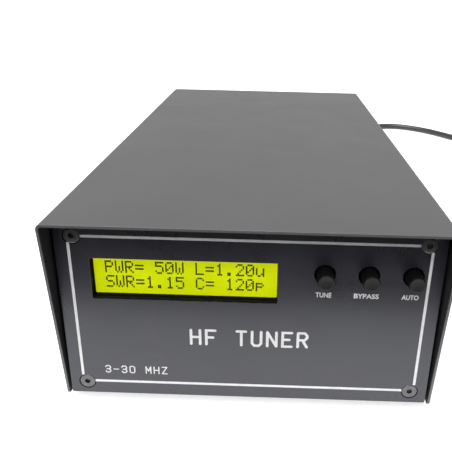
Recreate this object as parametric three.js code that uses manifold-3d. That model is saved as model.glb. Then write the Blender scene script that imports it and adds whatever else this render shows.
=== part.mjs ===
// Automatic antenna tuner in a folded sheet-metal case: a chassis, a cover, a front panel with a
// character display and three push buttons, two coaxial sockets, a ground terminal and a DC lead.
// Millimetres, +Z up, the front panel faces -Y. The origin is on the table under the middle of the case.
import * as THREE from "three";
import { mergeVertices } from "three/addons/utils/BufferGeometryUtils.js";
import Module from "manifold-3d";

const wasm = await Module();
wasm.setup();

// ---------------------------------------------------------------- driving dimensions
const FIT = 0.3; // gap between pieces that touch or run in each other
const OVERLAP = 1; // how far a solid reaches into what it joins and past what it cuts

// Cover: an inverted U of painted sheet
const COVER_WIDTH = 140;
const COVER_HEIGHT = 75;
const COVER_DEPTH = 250;
const COVER_SHEET = 1.2;
const COVER_BEND = 2; // outside radius of the two bends
const VISOR = 7; // how far the cover's top reaches in front of the panel
const WING_SLOPE = 8; // how far the side wings step back from top to bottom
const REAR_LIP = 4; // how far the cover reaches behind the rear wall

// Chassis: floor, front wall, rear wall and two low side flanges of one folded sheet
const WALL = 1.5;
const CHASSIS_SIDE_GAP = 0.4;
const FLANGE_HEIGHT = 15;
const WALL_TOP_GAP = 0.6;
const BOSS_RADIUS = 3.2; // clinched nuts and posts
const NUT_HEIGHT = 3.5;

// Front panel
const PANEL_THICKNESS = 2;
const PANEL_SIDE_GAP = 1.2;
const PANEL_TOP_GAP = 0.5;
const PANEL_RISE = 1.3; // underside of the panel over the cover's lower edge
const PANEL_SCREW_SIDE = 6.3; // screw centre from the panel's side edge
const PANEL_SCREW_TOP = 7.2; // screw centre under the cover's top
const PANEL_SCREW_BOTTOM = 6.4; // screw centre over the cover's lower edge

// M3 fasteners
const M3_RADIUS = 1.5;
const COUNTERSUNK_RADIUS = 2.9;
const COUNTERSUNK_DEPTH = 1.7;
const COUNTERSUNK_INSET = 0.1;
const PANEL_SCREW_LENGTH = 8;
const BUTTON_HEAD_RADIUS = 2.8;
const BUTTON_HEAD_HEIGHT = 1.6;
const SOCKET_FLATS = 2; // hexagonal drive, across flats
const SOCKET_DEPTH = 1.1;
const COVER_SCREW_LENGTH = 6;
const COVER_SCREW_INSET = 38; // from the panel's face and from the rear wall
const COVER_SCREW_RISE = 8; // over the cover's lower edge

// Rubber feet
const FOOT_HEIGHT = 4;
const FOOT_RADIUS = 6.5;
const FOOT_TAPER = 0.7;
const FOOT_BAND = 0.5; // straight band over the taper
const FOOT_SIDE = 18; // foot centre from the cover's side
const FOOT_END = 26; // foot centre from the panel's face and from the rear wall
const FOOT_RECESS_RADIUS = 3.4;
const FOOT_RECESS_DEPTH = 2.2;

// Display module of two lines of sixteen characters
const WINDOW_WIDTH = 66;
const WINDOW_HEIGHT = 16.1;
const WINDOW_SIDE = 11.7; // window edge from the panel's left edge
const WINDOW_DROP = 23.7; // window centre under the cover's top
const DISPLAY_DROP = 0.1; // module centre under the window centre
const BEZEL_WIDTH = 71.3;
const BEZEL_HEIGHT = 26.3;
const BEZEL_DEPTH = 6;
const BEZEL_SHEET = 0.5;
const BEZEL_SETBACK = 0.8; // behind the panel
const VIEW_WIDTH = 65.5;
const VIEW_HEIGHT = 14.7;
const GLASS_THICKNESS = 2;
const DISPLAY_BOARD_WIDTH = 80;
const DISPLAY_BOARD_HEIGHT = 36;
const DISPLAY_HOLE_PITCH_X = 75;
const DISPLAY_HOLE_PITCH_Z = 31;
const BOARD_THICKNESS = 1.6;
const DISPLAY_POST_RADIUS = 2.4;

// Push buttons
const BUTTON_NAMES = ["tune", "bypass", "auto"];
const BUTTON_PITCH = 15.4;
const LAST_BUTTON_SIDE = 10.4; // from the panel's right edge
const BUTTON_DROP = 19.4; // under the cover's top
const CAP_RADIUS = 3;
const CAP_LENGTH = 9;
const CAP_PROUD = 5.7; // in front of the panel's face
const CAP_ROUNDING = 0.4;
const CAP_CLEARANCE = 0.8;
const BUTTON_TRAVEL = 1.5;
const PLUNGER_SIDE = 2.6;
const PLUNGER_LENGTH = 10.5;
const PLUNGER_IN_CAP = 4.3;
const SWITCH_SIDE = 8.5;
const SWITCH_DEPTH = 7;
const BUTTON_BOARD_HEIGHT = 13;
const BUTTON_BOARD_MARGIN = 8; // board edge past the outer buttons

// Rear panel fittings
const SOCKET_NAMES = ["input", "antenna"];
const FIRST_SOCKET_X = -40;
const SOCKET_PITCH = 42;
const SOCKET_RISE = 36; // over the cover's lower edge
const SOCKET_FLANGE = 25.4;
const SOCKET_FLANGE_THICKNESS = 3;
const SOCKET_BARREL_RADIUS = 7.9;
const SOCKET_BARREL_LENGTH = 14;
const SOCKET_MOUTH_RADIUS = 6.4;
const SOCKET_MOUTH_DEPTH = 11;
const SOCKET_NECK_RADIUS = 6.8;
const SOCKET_BORE_RADIUS = 4.6;
const SOCKET_NECK_INSIDE = 2; // how far the neck reaches inside the rear wall
const SOCKET_NOTCH = 1.6; // width of the four notches in the mouth
const SOCKET_HOLE_PITCH = 18.2;
const INSULATOR_TAIL = 3; // inside the rear wall
const INSULATOR_RIM = 2; // thickness of its wide end
const CONTACT_RADIUS = 2.8;
const CONTACT_BORE_RADIUS = 2;
const CONTACT_BORE_DEPTH = 10;
const WIRE_HOLE_DEPTH = 4;
const CONTACT_INSET = 1.5; // behind the socket's mouth
const CONTACT_TAIL = 7; // behind the rear wall
const TERMINAL_X = 40;
const TERMINAL_RISE = 52;
const STUD_RADIUS = 3;
const STUD_LENGTH = 22; // outside the rear wall
const HEX_FLATS = 10;
const STUD_HEAD_HEIGHT = 4;
const HEX_NUT_HEIGHT = 5;
const WASHER_RADIUS = 6;
const WASHER_THICKNESS = 1.2;
const WING_HUB_RADIUS = 5;
const WING_HUB_HEIGHT = 6;
const WING_REACH = 9.5; // ear centre from the stud's axis
const WING_EAR_RADIUS = 3.6;
const WING_THICKNESS = 2;
const WING_TAPER = 0.8; // narrowing of the hub, and the wings' fall to it
const WING_ROOT = 0.6; // where the wings start on the hub

// DC lead, its strain relief and its plug
const LEAD_RADIUS = 3;
const LEAD_SIDES = 10;
const LEAD_STEP = 15;
const BOOT_X = 45;
const BOOT_RISE = 18;
const BOOT_LIP_RADIUS = 7.5;
const BOOT_LIP = 2.5;
const BOOT_GROOVE_RADIUS = 5.2;
const BOOT_LENGTH = 25;
const BOOT_BASE_RADIUS = 5.6;
const BOOT_TIP_RADIUS = 4.1;
const BOOT_SHOULDER = 0.5; // length of the slope from lip to body
const COIL_X = 254;
const COIL_Y = 179; // behind the rear wall
const COIL_INNER = 24;
const COIL_OUTER = 42;
const COIL_HEIGHT = 11.4;
const COIL_CORNER = 3;
const PLUG_X = 300;
const PLUG_Y = 191.3; // behind the rear wall
const PLUG_RADIUS = 5.5;
const PLUG_NECK_RADIUS = 3.8;
const PLUG_NECK = 14;
const PLUG_LENGTH = 38;
const PLUG_STEP = 0.8; // step in radius from neck to grip
const PLUG_STEP_LENGTH = 1.5;
const PLUG_ROUNDING = 0.6;
const BARREL_RADIUS = 2.75;
const BARREL_BORE_RADIUS = 1.05;
const BARREL_LENGTH = 9.5;
const BARREL_FLOOR = 1;
// The lead's route from the strain relief over the table to the coil, y from the rear wall's outside
const LEAD_ROUTE = [
  [45, 28.6, 22], [45, 41, 21.3], [45.2, 56, 18.2], [46, 72, 12.6], [47.5, 89, 7.2],
  [50, 106, 4.1], [54, 123, 3.2], [60, 141, 3.2], [69, 160, 3.2], [81, 177, 3.2],
  [97, 192.5, 3.2], [115, 205, 3.2], [133.4, 211.9, 3.2], [144.5, 213.9, 3.2], [156, 212.6, 3.2],
  [166.7, 207.7, 3.2], [177, 200.5, 3.2], [186.3, 191.8, 3.2], [194.4, 182.2, 3.2],
  [201.5, 172.5, 3.2], [207, 166, 3.2], [212.3, 160.7, 3.2],
];
// The short end from the coil to the plug
const TAIL_ROUTE = [
  [291.7, 153.2, 4.8], [296.2, 160.5, 3.7], [299, 169, 3.2], [300, 176, 3.8], [300, 183.5, 5.2],
  [300, 190.7, 5.7],
];

// Circuit board and what stands on it
const BOARD_WIDTH = 118;
const BOARD_FRONT = 22; // behind the front wall
const BOARD_BACK = 24; // in front of the rear wall
const BOARD_POST = 8;
const BOARD_HOLE_INSET = 5;
const PAN_HEAD_RADIUS = 2.8;
const PAN_HEAD_HEIGHT = 2;
const BOARD_SCREW_LENGTH = 6;
const RELAY_COUNT = 7;
const RELAY_PITCH = 13.6;
const RELAY_SIZE = [29, 12.7, 15.7];
const RELAY_X = 41;
const RELAY_BASE = 0.8;
const RELAY_ROW_FRONT = 24; // first relay centre behind the board's front edge
const CORE_COUNT = 3;
const CORE_OUTER = 18;
const CORE_INNER = 9;
const CORE_HEIGHT = 14;
const CORE_ROUNDING = 2;
const CORE_PITCH = 42;
const FIRST_CORE = 34; // behind the board's front edge
const SENSOR_OUTER = 6.5;
const SENSOR_INNER = 3.6;
const SENSOR_LENGTH = 7;
const SENSOR_GAP = 6; // from the contact's tail to the core
const WIRE_RADIUS = 0.9;
const WIRE_SIDES = 6;
const WIRE_STEP = 4;
const WIRE_IN_CONTACT = 3; // how far its end is from the contact's tail
const WIRE_REACH = 26; // how far a wire runs forward before it turns down
const RIBBON_WIDTH = 26;
const RIBBON_THICKNESS = 1;

// ---------------------------------------------------------------- derived places
const HALF_WIDTH = COVER_WIDTH / 2;
const WING_INSIDE = HALF_WIDTH - COVER_SHEET;
const COVER_BOTTOM = FOOT_HEIGHT;
const COVER_TOP = COVER_BOTTOM + COVER_HEIGHT;
const CEILING = COVER_TOP - COVER_SHEET;
const COVER_REAR = COVER_DEPTH - VISOR;
const REAR_FACE = COVER_REAR - REAR_LIP;
const REAR_INSIDE = REAR_FACE - WALL;
const FRONT_WALL = PANEL_THICKNESS + FIT;
const FRONT_INSIDE = FRONT_WALL + WALL;
const UNDERSIDE = FOOT_HEIGHT + FIT;
const FLOOR = UNDERSIDE + WALL;
const CHASSIS_HALF = WING_INSIDE - CHASSIS_SIDE_GAP;
const PANEL_HALF = WING_INSIDE - PANEL_SIDE_GAP;
const PANEL_BOTTOM = COVER_BOTTOM + PANEL_RISE;
const PANEL_TOP = CEILING - PANEL_TOP_GAP;
const WINDOW_X = -PANEL_HALF + WINDOW_SIDE + WINDOW_WIDTH / 2;
const WINDOW_Z = COVER_TOP - WINDOW_DROP;
const DISPLAY_Z = WINDOW_Z - DISPLAY_DROP;
const BEZEL_FRONT = PANEL_THICKNESS + BEZEL_SETBACK;
const BEZEL_BACK = BEZEL_FRONT + BEZEL_DEPTH;
const GLASS_FRONT = BEZEL_FRONT + BEZEL_SHEET + FIT;
const DISPLAY_BOARD_FRONT = BEZEL_BACK + FIT;
const BUTTON_Z = COVER_TOP - BUTTON_DROP;
const LAST_BUTTON_X = PANEL_HALF - LAST_BUTTON_SIDE;
const CAP_HOLE_RADIUS = CAP_RADIUS + CAP_CLEARANCE;
const CAP_BACK = CAP_LENGTH - CAP_PROUD;
const PLUNGER_FRONT = CAP_BACK - PLUNGER_IN_CAP;
const SWITCH_FRONT = CAP_BACK + BUTTON_TRAVEL + 2 * FIT;
const SWITCH_BACK = SWITCH_FRONT + SWITCH_DEPTH;
const BUTTON_BOARD_FRONT = SWITCH_BACK + FIT;
const SOCKET_Z = COVER_BOTTOM + SOCKET_RISE;
const SOCKET_SEAT = REAR_FACE + FIT;
const SOCKET_MOUTH = SOCKET_SEAT + SOCKET_FLANGE_THICKNESS + SOCKET_BARREL_LENGTH;
const TERMINAL_Z = COVER_BOTTOM + TERMINAL_RISE;
const WASHER_BACK = REAR_FACE + 2 * FIT + HEX_NUT_HEIGHT;
const WING_NUT_BACK = WASHER_BACK + WASHER_THICKNESS + FIT;
const BOOT_Z = COVER_BOTTOM + BOOT_RISE;
const BOARD_START = FRONT_INSIDE + BOARD_FRONT;
const BOARD_END = REAR_INSIDE - BOARD_BACK;
const BOARD_UNDERSIDE = FLOOR + BOARD_POST + FIT;
const BOARD_TOP = BOARD_UNDERSIDE + BOARD_THICKNESS;
const REAR_END = REAR_FACE + STUD_LENGTH;
const MIDDLE = (REAR_END - VISOR) / 2;

const buttonX = (i) => LAST_BUTTON_X - (BUTTON_NAMES.length - 1 - i) * BUTTON_PITCH;
const socketX = (i) => FIRST_SOCKET_X + i * SOCKET_PITCH;
const behindRear = ([x, y, z]) => [x, REAR_FACE + y, z];
const corners = (x, a, b) => [[-x, a], [x, a], [-x, b], [x, b]];
const panelScrews = corners(
  PANEL_HALF - PANEL_SCREW_SIDE,
  COVER_BOTTOM + PANEL_SCREW_BOTTOM,
  COVER_TOP - PANEL_SCREW_TOP,
);
const coverScrewZ = COVER_BOTTOM + COVER_SCREW_RISE;
const coverScrewYs = [COVER_SCREW_INSET, REAR_FACE - COVER_SCREW_INSET];
const feet = corners(HALF_WIDTH - FOOT_SIDE, FOOT_END, REAR_FACE - FOOT_END);
const boardPosts = corners(
  BOARD_WIDTH / 2 - BOARD_HOLE_INSET,
  BOARD_START + BOARD_HOLE_INSET,
  BOARD_END - BOARD_HOLE_INSET,
);
const displayPosts = corners(
  DISPLAY_HOLE_PITCH_X / 2,
  DISPLAY_Z - DISPLAY_HOLE_PITCH_Z / 2,
  DISPLAY_Z + DISPLAY_HOLE_PITCH_Z / 2,
).map(([x, z]) => [x + WINDOW_X, z]);
const buttonPosts = [0.5, 1.5].map((i) => [buttonX(i), BUTTON_Z]);

// ---------------------------------------------------------------- solids
// A closed geometry as a manifold-3d solid with its faces pointing out.
function solid(geometry) {
  const bare = geometry.index ? geometry.toNonIndexed() : geometry.clone();
  bare.deleteAttribute("normal");
  bare.deleteAttribute("uv");
  const merged = mergeVertices(bare);
  const vertProperties = merged.attributes.position.array;
  const triVerts = new Uint32Array(merged.index.array);
  const made = new wasm.Manifold(new wasm.Mesh({ numProp: 3, vertProperties, triVerts }));
  if (made.volume() >= 0) return made;
  return new wasm.Manifold(
    new wasm.Mesh({ numProp: 3, vertProperties, triVerts: triVerts.reverse() }),
  );
}

const join = (first, ...rest) => rest.reduce((whole, piece) => whole.add(piece), first);
const cut = (first, ...rest) => rest.reduce((whole, piece) => whole.subtract(piece), first);

function box(low, high) {
  const size = high.map((value, i) => value - low[i]);
  const middle = high.map((value, i) => (value + low[i]) / 2);
  return solid(new THREE.BoxGeometry(...size).translate(...middle));
}

// A block given by its middle in x and z, its size there, and where it starts and ends in y.
function block([x, z], [width, height], front, back) {
  return box([x - width / 2, front, z - height / 2], [x + width / 2, back, z + height / 2]);
}

// A rod along Y.
function rodY([x, z], radius, front, back, sides = 20) {
  const rod = new THREE.CylinderGeometry(radius, radius, back - front, sides);
  return solid(rod.translate(x, (front + back) / 2, z));
}

// A rod along Z.
function rodZ([x, y], radius, bottom, top, sides = 12) {
  const rod = new THREE.CylinderGeometry(radius, radius, top - bottom, sides);
  return solid(rod.rotateX(Math.PI / 2).translate(x, y, (bottom + top) / 2));
}

// A rod along X.
function rodX([y, z], radius, left, right, sides = 12) {
  const rod = new THREE.CylinderGeometry(radius, radius, right - left, sides);
  return solid(rod.rotateZ(Math.PI / 2).translate((left + right) / 2, y, z));
}

// A hexagonal bar along Y, sized across its flats.
function hexY([x, z], flats, front, back) {
  return rodY([x, z], flats / Math.sqrt(3), front, back, 6);
}

// A solid of revolution about the Y direction through (x, z): the profile is [radius, y] pairs.
function turnedY([x, z], profile, sides = 20) {
  const points = profile.map(([radius, y]) => new THREE.Vector2(radius, y));
  return solid(new THREE.LatheGeometry(points, sides).translate(x, 0, z));
}

// A solid of revolution about a vertical axis through (x, y): the profile is [radius, z] pairs.
function turnedZ([x, y], profile, sides = 24) {
  const points = profile.map(([radius, z]) => new THREE.Vector2(radius, z));
  return solid(new THREE.LatheGeometry(points, sides).rotateX(Math.PI / 2).translate(x, y, 0));
}

// An outline in (y, z) drawn out along X.
function extrudedX(shape, left, right) {
  const geometry = new THREE.ExtrudeGeometry(shape, { depth: right - left, bevelEnabled: false });
  const axes = new THREE.Matrix4().makeBasis(
    new THREE.Vector3(0, 1, 0),
    new THREE.Vector3(0, 0, 1),
    new THREE.Vector3(1, 0, 0),
  );
  return solid(geometry.applyMatrix4(axes).translate(left, 0, 0));
}

// An outline in (x, z) drawn out along Y.
function extrudedY(shape, front, back, curveSegments = 5) {
  const options = { depth: back - front, bevelEnabled: false, curveSegments };
  const geometry = new THREE.ExtrudeGeometry(shape, options);
  return solid(geometry.rotateX(Math.PI / 2).translate(0, back, 0));
}

// A round tube through a list of points.
function tube(route, radius, sides, step) {
  const curve = new THREE.CatmullRomCurve3(route.map((point) => new THREE.Vector3(...point)));
  const section = new THREE.Shape(
    Array.from({ length: sides }, (_, i) => {
      const angle = (2 * Math.PI * i) / sides;
      return new THREE.Vector2(radius * Math.cos(angle), radius * Math.sin(angle));
    }),
  );
  const steps = Math.ceil(curve.getLength() / step);
  return solid(new THREE.ExtrudeGeometry(section, { steps, extrudePath: curve, bevelEnabled: false }));
}

// ---------------------------------------------------------------- finishes: colour, roughness, metalness
const FINISHES = {
  coverPaint: [0x5c5c5e, 0.55, 0.2],
  panelBlack: [0x2a2a2f, 0.5, 0.4],
  zincPlate: [0xb9bcc0, 0.4, 0.9],
  blackSteel: [0x17171a, 0.5, 0.6],
  screwSteel: [0x8d8f93, 0.35, 1],
  buttonBlack: [0x111113, 0.45, 0],
  switchBlack: [0x1c1c1e, 0.6, 0],
  backlight: [0xcde000, 0.4, 0],
  displayGlass: [0xb9cc20, 0.1, 0],
  boardGreen: [0x1d5a34, 0.5, 0],
  nickel: [0xc4c2bb, 0.25, 1],
  ptfe: [0xeeeeea, 0.5, 0],
  brass: [0xc9a254, 0.3, 1],
  rubber: [0x1a1a1a, 0.9, 0],
  leadJacket: [0x202022, 0.6, 0],
  plugMoulding: [0x19191b, 0.6, 0],
  relayCase: [0x23272e, 0.5, 0],
  ferrite: [0x8f2a22, 0.7, 0],
  darkFerrite: [0x3a3a3c, 0.8, 0],
  copperWire: [0xb5653a, 0.35, 1],
  ribbonGrey: [0x9a9a9c, 0.7, 0],
};

const tuner = new THREE.Group();
tuner.position.y = -MIDDLE;

function add(name, piece, finish) {
  const raw = piece.getMesh();
  const positions = new THREE.BufferAttribute(new Float32Array(raw.vertProperties), 3);
  const geometry = new THREE.BufferGeometry().setAttribute("position", positions);
  geometry.setIndex(new THREE.BufferAttribute(new Uint32Array(raw.triVerts), 1));
  geometry.computeVertexNormals();
  const [color, roughness, metalness] = FINISHES[finish];
  const mesh = new THREE.Mesh(geometry, new THREE.MeshStandardMaterial({ color, roughness, metalness }));
  mesh.name = name;
  tuner.add(mesh);
}

// ---------------------------------------------------------------- fasteners
// A countersunk screw along Y with its head at the panel's face. A grown one is the hole it needs.
function countersunk(place, grow) {
  const face = grow ? -OVERLAP : COUNTERSUNK_INSET;
  const throat = COUNTERSUNK_INSET + COUNTERSUNK_DEPTH;
  const end = COUNTERSUNK_INSET + PANEL_SCREW_LENGTH;
  return turnedY(place, [
    [0, face],
    [COUNTERSUNK_RADIUS + grow, face],
    [COUNTERSUNK_RADIUS + grow, COUNTERSUNK_INSET],
    [M3_RADIUS + grow, throat],
    [M3_RADIUS + grow, end],
    [0, end],
  ]);
}

function panelScrew(place) {
  const drive = hexY(place, SOCKET_FLATS, -OVERLAP, COUNTERSUNK_INSET + SOCKET_DEPTH);
  return cut(countersunk(place, 0), drive);
}

// A button-head screw along X through a wing of the cover; side is -1 or 1.
function coverScrew(side, y) {
  const seat = HALF_WIDTH + FIT;
  const span = (from, to) => (side > 0 ? [from, to] : [-to, -from]);
  const place = [y, coverScrewZ];
  const head = rodX(place, BUTTON_HEAD_RADIUS, ...span(seat, seat + BUTTON_HEAD_HEIGHT), 18);
  const shank = rodX(place, M3_RADIUS, ...span(HALF_WIDTH - COVER_SCREW_LENGTH, seat + FIT));
  const drive = rodX(
    place,
    SOCKET_FLATS / Math.sqrt(3),
    ...span(seat + BUTTON_HEAD_HEIGHT - SOCKET_DEPTH, seat + BUTTON_HEAD_HEIGHT + OVERLAP),
    6,
  );
  return cut(join(head, shank), drive);
}

function boardScrew(place) {
  const seat = BOARD_TOP + FIT;
  const head = rodZ(place, PAN_HEAD_RADIUS, seat, seat + PAN_HEAD_HEIGHT);
  return join(head, rodZ(place, M3_RADIUS, seat - BOARD_SCREW_LENGTH, seat + FIT, 10));
}

// ---------------------------------------------------------------- case
// The folded U in (x, z): the outside, then back along the inside.
function coverOutline() {
  const bend = HALF_WIDTH - COVER_BEND;
  const rise = COVER_TOP - COVER_BEND;
  const inner = COVER_BEND - COVER_SHEET;
  return new THREE.Shape()
    .moveTo(HALF_WIDTH, COVER_BOTTOM)
    .lineTo(HALF_WIDTH, rise)
    .absarc(bend, rise, COVER_BEND, 0, Math.PI / 2)
    .lineTo(-bend, COVER_TOP)
    .absarc(-bend, rise, COVER_BEND, Math.PI / 2, Math.PI)
    .lineTo(-HALF_WIDTH, COVER_BOTTOM)
    .lineTo(-WING_INSIDE, COVER_BOTTOM)
    .lineTo(-WING_INSIDE, rise)
    .absarc(-bend, rise, inner, Math.PI, Math.PI / 2, true)
    .lineTo(bend, CEILING)
    .absarc(bend, rise, inner, Math.PI / 2, 0, true)
    .lineTo(WING_INSIDE, COVER_BOTTOM);
}

function topCover() {
  const slope = new THREE.Shape()
    .moveTo(-VISOR, COVER_TOP - COVER_BEND)
    .lineTo(-VISOR - OVERLAP, COVER_TOP - COVER_BEND)
    .lineTo(-VISOR - OVERLAP, COVER_BOTTOM - OVERLAP)
    .lineTo(-VISOR + WING_SLOPE, COVER_BOTTOM - OVERLAP);
  const holes = coverScrewYs.map((y) =>
    rodX([y, coverScrewZ], M3_RADIUS + FIT, -HALF_WIDTH - OVERLAP, HALF_WIDTH + OVERLAP),
  );
  return cut(
    extrudedY(coverOutline(), -VISOR, COVER_REAR),
    extrudedX(slope, -HALF_WIDTH - OVERLAP, HALF_WIDTH + OVERLAP),
    ...holes,
  );
}

// The bare folded sheet: floor, two walls and two side flanges.
function foldedTray() {
  const top = CEILING - WALL_TOP_GAP;
  const flangeTop = UNDERSIDE + FLANGE_HEIGHT;
  const side = CHASSIS_HALF;
  return join(
    box([-side, FRONT_WALL, UNDERSIDE], [side, REAR_FACE, FLOOR]),
    box([-PANEL_HALF, FRONT_WALL, UNDERSIDE], [PANEL_HALF, FRONT_INSIDE, top]),
    box([-PANEL_HALF, REAR_INSIDE, UNDERSIDE], [PANEL_HALF, REAR_FACE, top]),
    box([-side, FRONT_WALL, UNDERSIDE], [WALL - side, REAR_FACE, flangeTop]),
    box([side - WALL, FRONT_WALL, UNDERSIDE], [side, REAR_FACE, flangeTop]),
  );
}

// Clinched nuts and posts that stand on the sheet, before their holes are cut.
function chassisBosses() {
  const inset = 0.2; // how far a boss sinks into the sheet it is clinched to
  const nutEnd = FRONT_INSIDE + NUT_HEIGHT;
  const sideNuts = coverScrewYs.flatMap((y) => {
    const place = [y, coverScrewZ];
    const outer = CHASSIS_HALF - WALL + inset;
    const inner = CHASSIS_HALF - WALL - NUT_HEIGHT;
    return [
      rodX(place, BOSS_RADIUS, inner, outer),
      rodX(place, BOSS_RADIUS, -outer, -inner),
    ];
  });
  return [
    ...panelScrews.map((place) => rodY(place, BOSS_RADIUS, FRONT_INSIDE - inset, nutEnd, 12)),
    ...displayPosts.map((place) =>
      rodY(place, DISPLAY_POST_RADIUS, FRONT_INSIDE - inset, DISPLAY_BOARD_FRONT - FIT, 12),
    ),
    ...buttonPosts.map((place) =>
      rodY(place, DISPLAY_POST_RADIUS, FRONT_INSIDE - inset, BUTTON_BOARD_FRONT - FIT, 12),
    ),
    ...boardPosts.map((place) => rodZ(place, BOSS_RADIUS, FLOOR - inset, FLOOR + BOARD_POST)),
    ...sideNuts,
  ];
}

function socketFlangeHoles(i) {
  const half = SOCKET_HOLE_PITCH / 2;
  return [[-half, -half], [half, -half], [-half, half], [half, half]].map(([x, z]) => [
    socketX(i) + x,
    SOCKET_Z + z,
  ]);
}

function chassisHoles() {
  const m3Hole = M3_RADIUS + FIT;
  const frontEnd = BUTTON_BOARD_FRONT + OVERLAP;
  const bezelHole = [BEZEL_WIDTH + 2 * FIT, BEZEL_HEIGHT + 2 * FIT];
  return [
    block([WINDOW_X, DISPLAY_Z], bezelHole, FRONT_WALL - OVERLAP, FRONT_INSIDE + OVERLAP / 2),
    ...BUTTON_NAMES.map((_, i) =>
      rodY([buttonX(i), BUTTON_Z], CAP_HOLE_RADIUS + FIT, FRONT_WALL - OVERLAP, FRONT_INSIDE + OVERLAP),
    ),
    ...panelScrews.map((place) => rodY(place, m3Hole, FRONT_WALL - OVERLAP, frontEnd, 12)),
    ...coverScrewYs.map((y) => rodX([y, coverScrewZ], m3Hole, -HALF_WIDTH, HALF_WIDTH)),
    ...feet.map((place) => rodZ(place, m3Hole, UNDERSIDE - OVERLAP, FLOOR + OVERLAP)),
    ...boardPosts.map((place) => rodZ(place, m3Hole, FLOOR + OVERLAP / 2, BOARD_UNDERSIDE + OVERLAP)),
    ...SOCKET_NAMES.map((_, i) =>
      rodY([socketX(i), SOCKET_Z], SOCKET_NECK_RADIUS + FIT, REAR_INSIDE - OVERLAP, REAR_FACE + OVERLAP),
    ),
    ...SOCKET_NAMES.flatMap((_, i) =>
      socketFlangeHoles(i).map((place) =>
        rodY(place, m3Hole, REAR_INSIDE - OVERLAP, REAR_FACE + OVERLAP, 10),
      ),
    ),
    rodY([TERMINAL_X, TERMINAL_Z], STUD_RADIUS + FIT, REAR_INSIDE - OVERLAP, REAR_FACE + OVERLAP),
    rodY([BOOT_X, BOOT_Z], BOOT_GROOVE_RADIUS + FIT, REAR_INSIDE - OVERLAP, REAR_FACE + OVERLAP),
  ];
}

function frontPanel() {
  const window = [WINDOW_WIDTH, WINDOW_HEIGHT];
  const sheet = box([-PANEL_HALF, 0, PANEL_BOTTOM], [PANEL_HALF, PANEL_THICKNESS, PANEL_TOP]);
  return cut(
    sheet,
    block([WINDOW_X, WINDOW_Z], window, -OVERLAP, PANEL_THICKNESS + OVERLAP),
    ...BUTTON_NAMES.map((_, i) =>
      rodY([buttonX(i), BUTTON_Z], CAP_HOLE_RADIUS, -OVERLAP, PANEL_THICKNESS + OVERLAP, 28),
    ),
    ...panelScrews.map((place) => countersunk(place, FIT)),
  );
}

function foot(place) {
  const hole = M3_RADIUS + FIT;
  const profile = [
    [hole, FOOT_RECESS_DEPTH],
    [FOOT_RECESS_RADIUS, FOOT_RECESS_DEPTH],
    [FOOT_RECESS_RADIUS, 0],
    [FOOT_RADIUS - FOOT_TAPER, 0],
    [FOOT_RADIUS, FOOT_HEIGHT - FOOT_BAND],
    [FOOT_RADIUS, FOOT_HEIGHT],
    [hole, FOOT_HEIGHT],
    [hole, FOOT_RECESS_DEPTH],
  ];
  return turnedZ(place, profile, 18);
}

function addCase() {
  add("top_cover", topCover(), "coverPaint");
  add("chassis", cut(join(foldedTray(), ...chassisBosses()), ...chassisHoles()), "zincPlate");
  add("front_panel", frontPanel(), "panelBlack");
  panelScrews.forEach((place, i) => add("panel_screw_" + (i + 1), panelScrew(place), "screwSteel"));
  feet.forEach((place, i) => add("foot_" + (i + 1), foot(place), "rubber"));
  const sides = coverScrewYs.flatMap((y) => [[-1, y], [1, y]]);
  sides.forEach(([side, y], i) => add("cover_screw_" + (i + 1), coverScrew(side, y), "screwSteel"));
}

// ---------------------------------------------------------------- display
function addDisplay() {
  const place = [WINDOW_X, DISPLAY_Z];
  const inside = [BEZEL_WIDTH - 2 * BEZEL_SHEET, BEZEL_HEIGHT - 2 * BEZEL_SHEET];
  const pane = inside.map((size) => size - 2 * FIT);
  const bezel = cut(
    block(place, [BEZEL_WIDTH, BEZEL_HEIGHT], BEZEL_FRONT, BEZEL_BACK),
    block(place, inside, BEZEL_FRONT + BEZEL_SHEET, BEZEL_BACK + OVERLAP),
    block(place, [VIEW_WIDTH, VIEW_HEIGHT], BEZEL_FRONT - OVERLAP, BEZEL_BACK),
  );
  const glassBack = GLASS_FRONT + GLASS_THICKNESS;
  const boardBack = DISPLAY_BOARD_FRONT + BOARD_THICKNESS;
  const board = [DISPLAY_BOARD_WIDTH, DISPLAY_BOARD_HEIGHT];
  const holes = displayPosts.map((post) =>
    rodY(post, M3_RADIUS, DISPLAY_BOARD_FRONT - OVERLAP, boardBack + OVERLAP, 12),
  );
  add("display_bezel", bezel, "blackSteel");
  add("display_glass", block(place, pane, GLASS_FRONT, glassBack), "displayGlass");
  add("display_backlight", block(place, pane, glassBack + FIT, BEZEL_BACK), "backlight");
  add("display_board", cut(block(place, board, DISPLAY_BOARD_FRONT, boardBack), ...holes), "boardGreen");
  add("ribbon_cable", ribbon(boardBack + 2 * FIT), "ribbonGrey");
}

// A flat cable from the back of the display board down to the circuit board.
function ribbon(start) {
  const half = RIBBON_THICKNESS / 2;
  const top = DISPLAY_Z + DISPLAY_HOLE_PITCH_Z / 2 - 3;
  const bottom = BOARD_TOP + FIT + half;
  const curve = new THREE.SplineCurve([
    new THREE.Vector2(start, top),
    new THREE.Vector2(start + 2, top),
    new THREE.Vector2(start + 6, top - 4),
    new THREE.Vector2(start + 9, (top + bottom) / 2 + 4),
    new THREE.Vector2(BOARD_START - 2, bottom + 8),
    new THREE.Vector2(BOARD_START + 3, bottom + 1),
    new THREE.Vector2(BOARD_START + 12, bottom),
  ]);
  const count = 20;
  const edge = (side) =>
    Array.from({ length: count + 1 }, (_, i) => {
      const t = i / count;
      const along = curve.getTangent(t);
      const point = curve.getPoint(t);
      return new THREE.Vector2(point.x - side * half * along.y, point.y + side * half * along.x);
    });
  const outline = new THREE.Shape([...edge(1), ...edge(-1).reverse()]);
  return extrudedX(outline, WINDOW_X - RIBBON_WIDTH / 2, WINDOW_X + RIBBON_WIDTH / 2);
}

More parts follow.
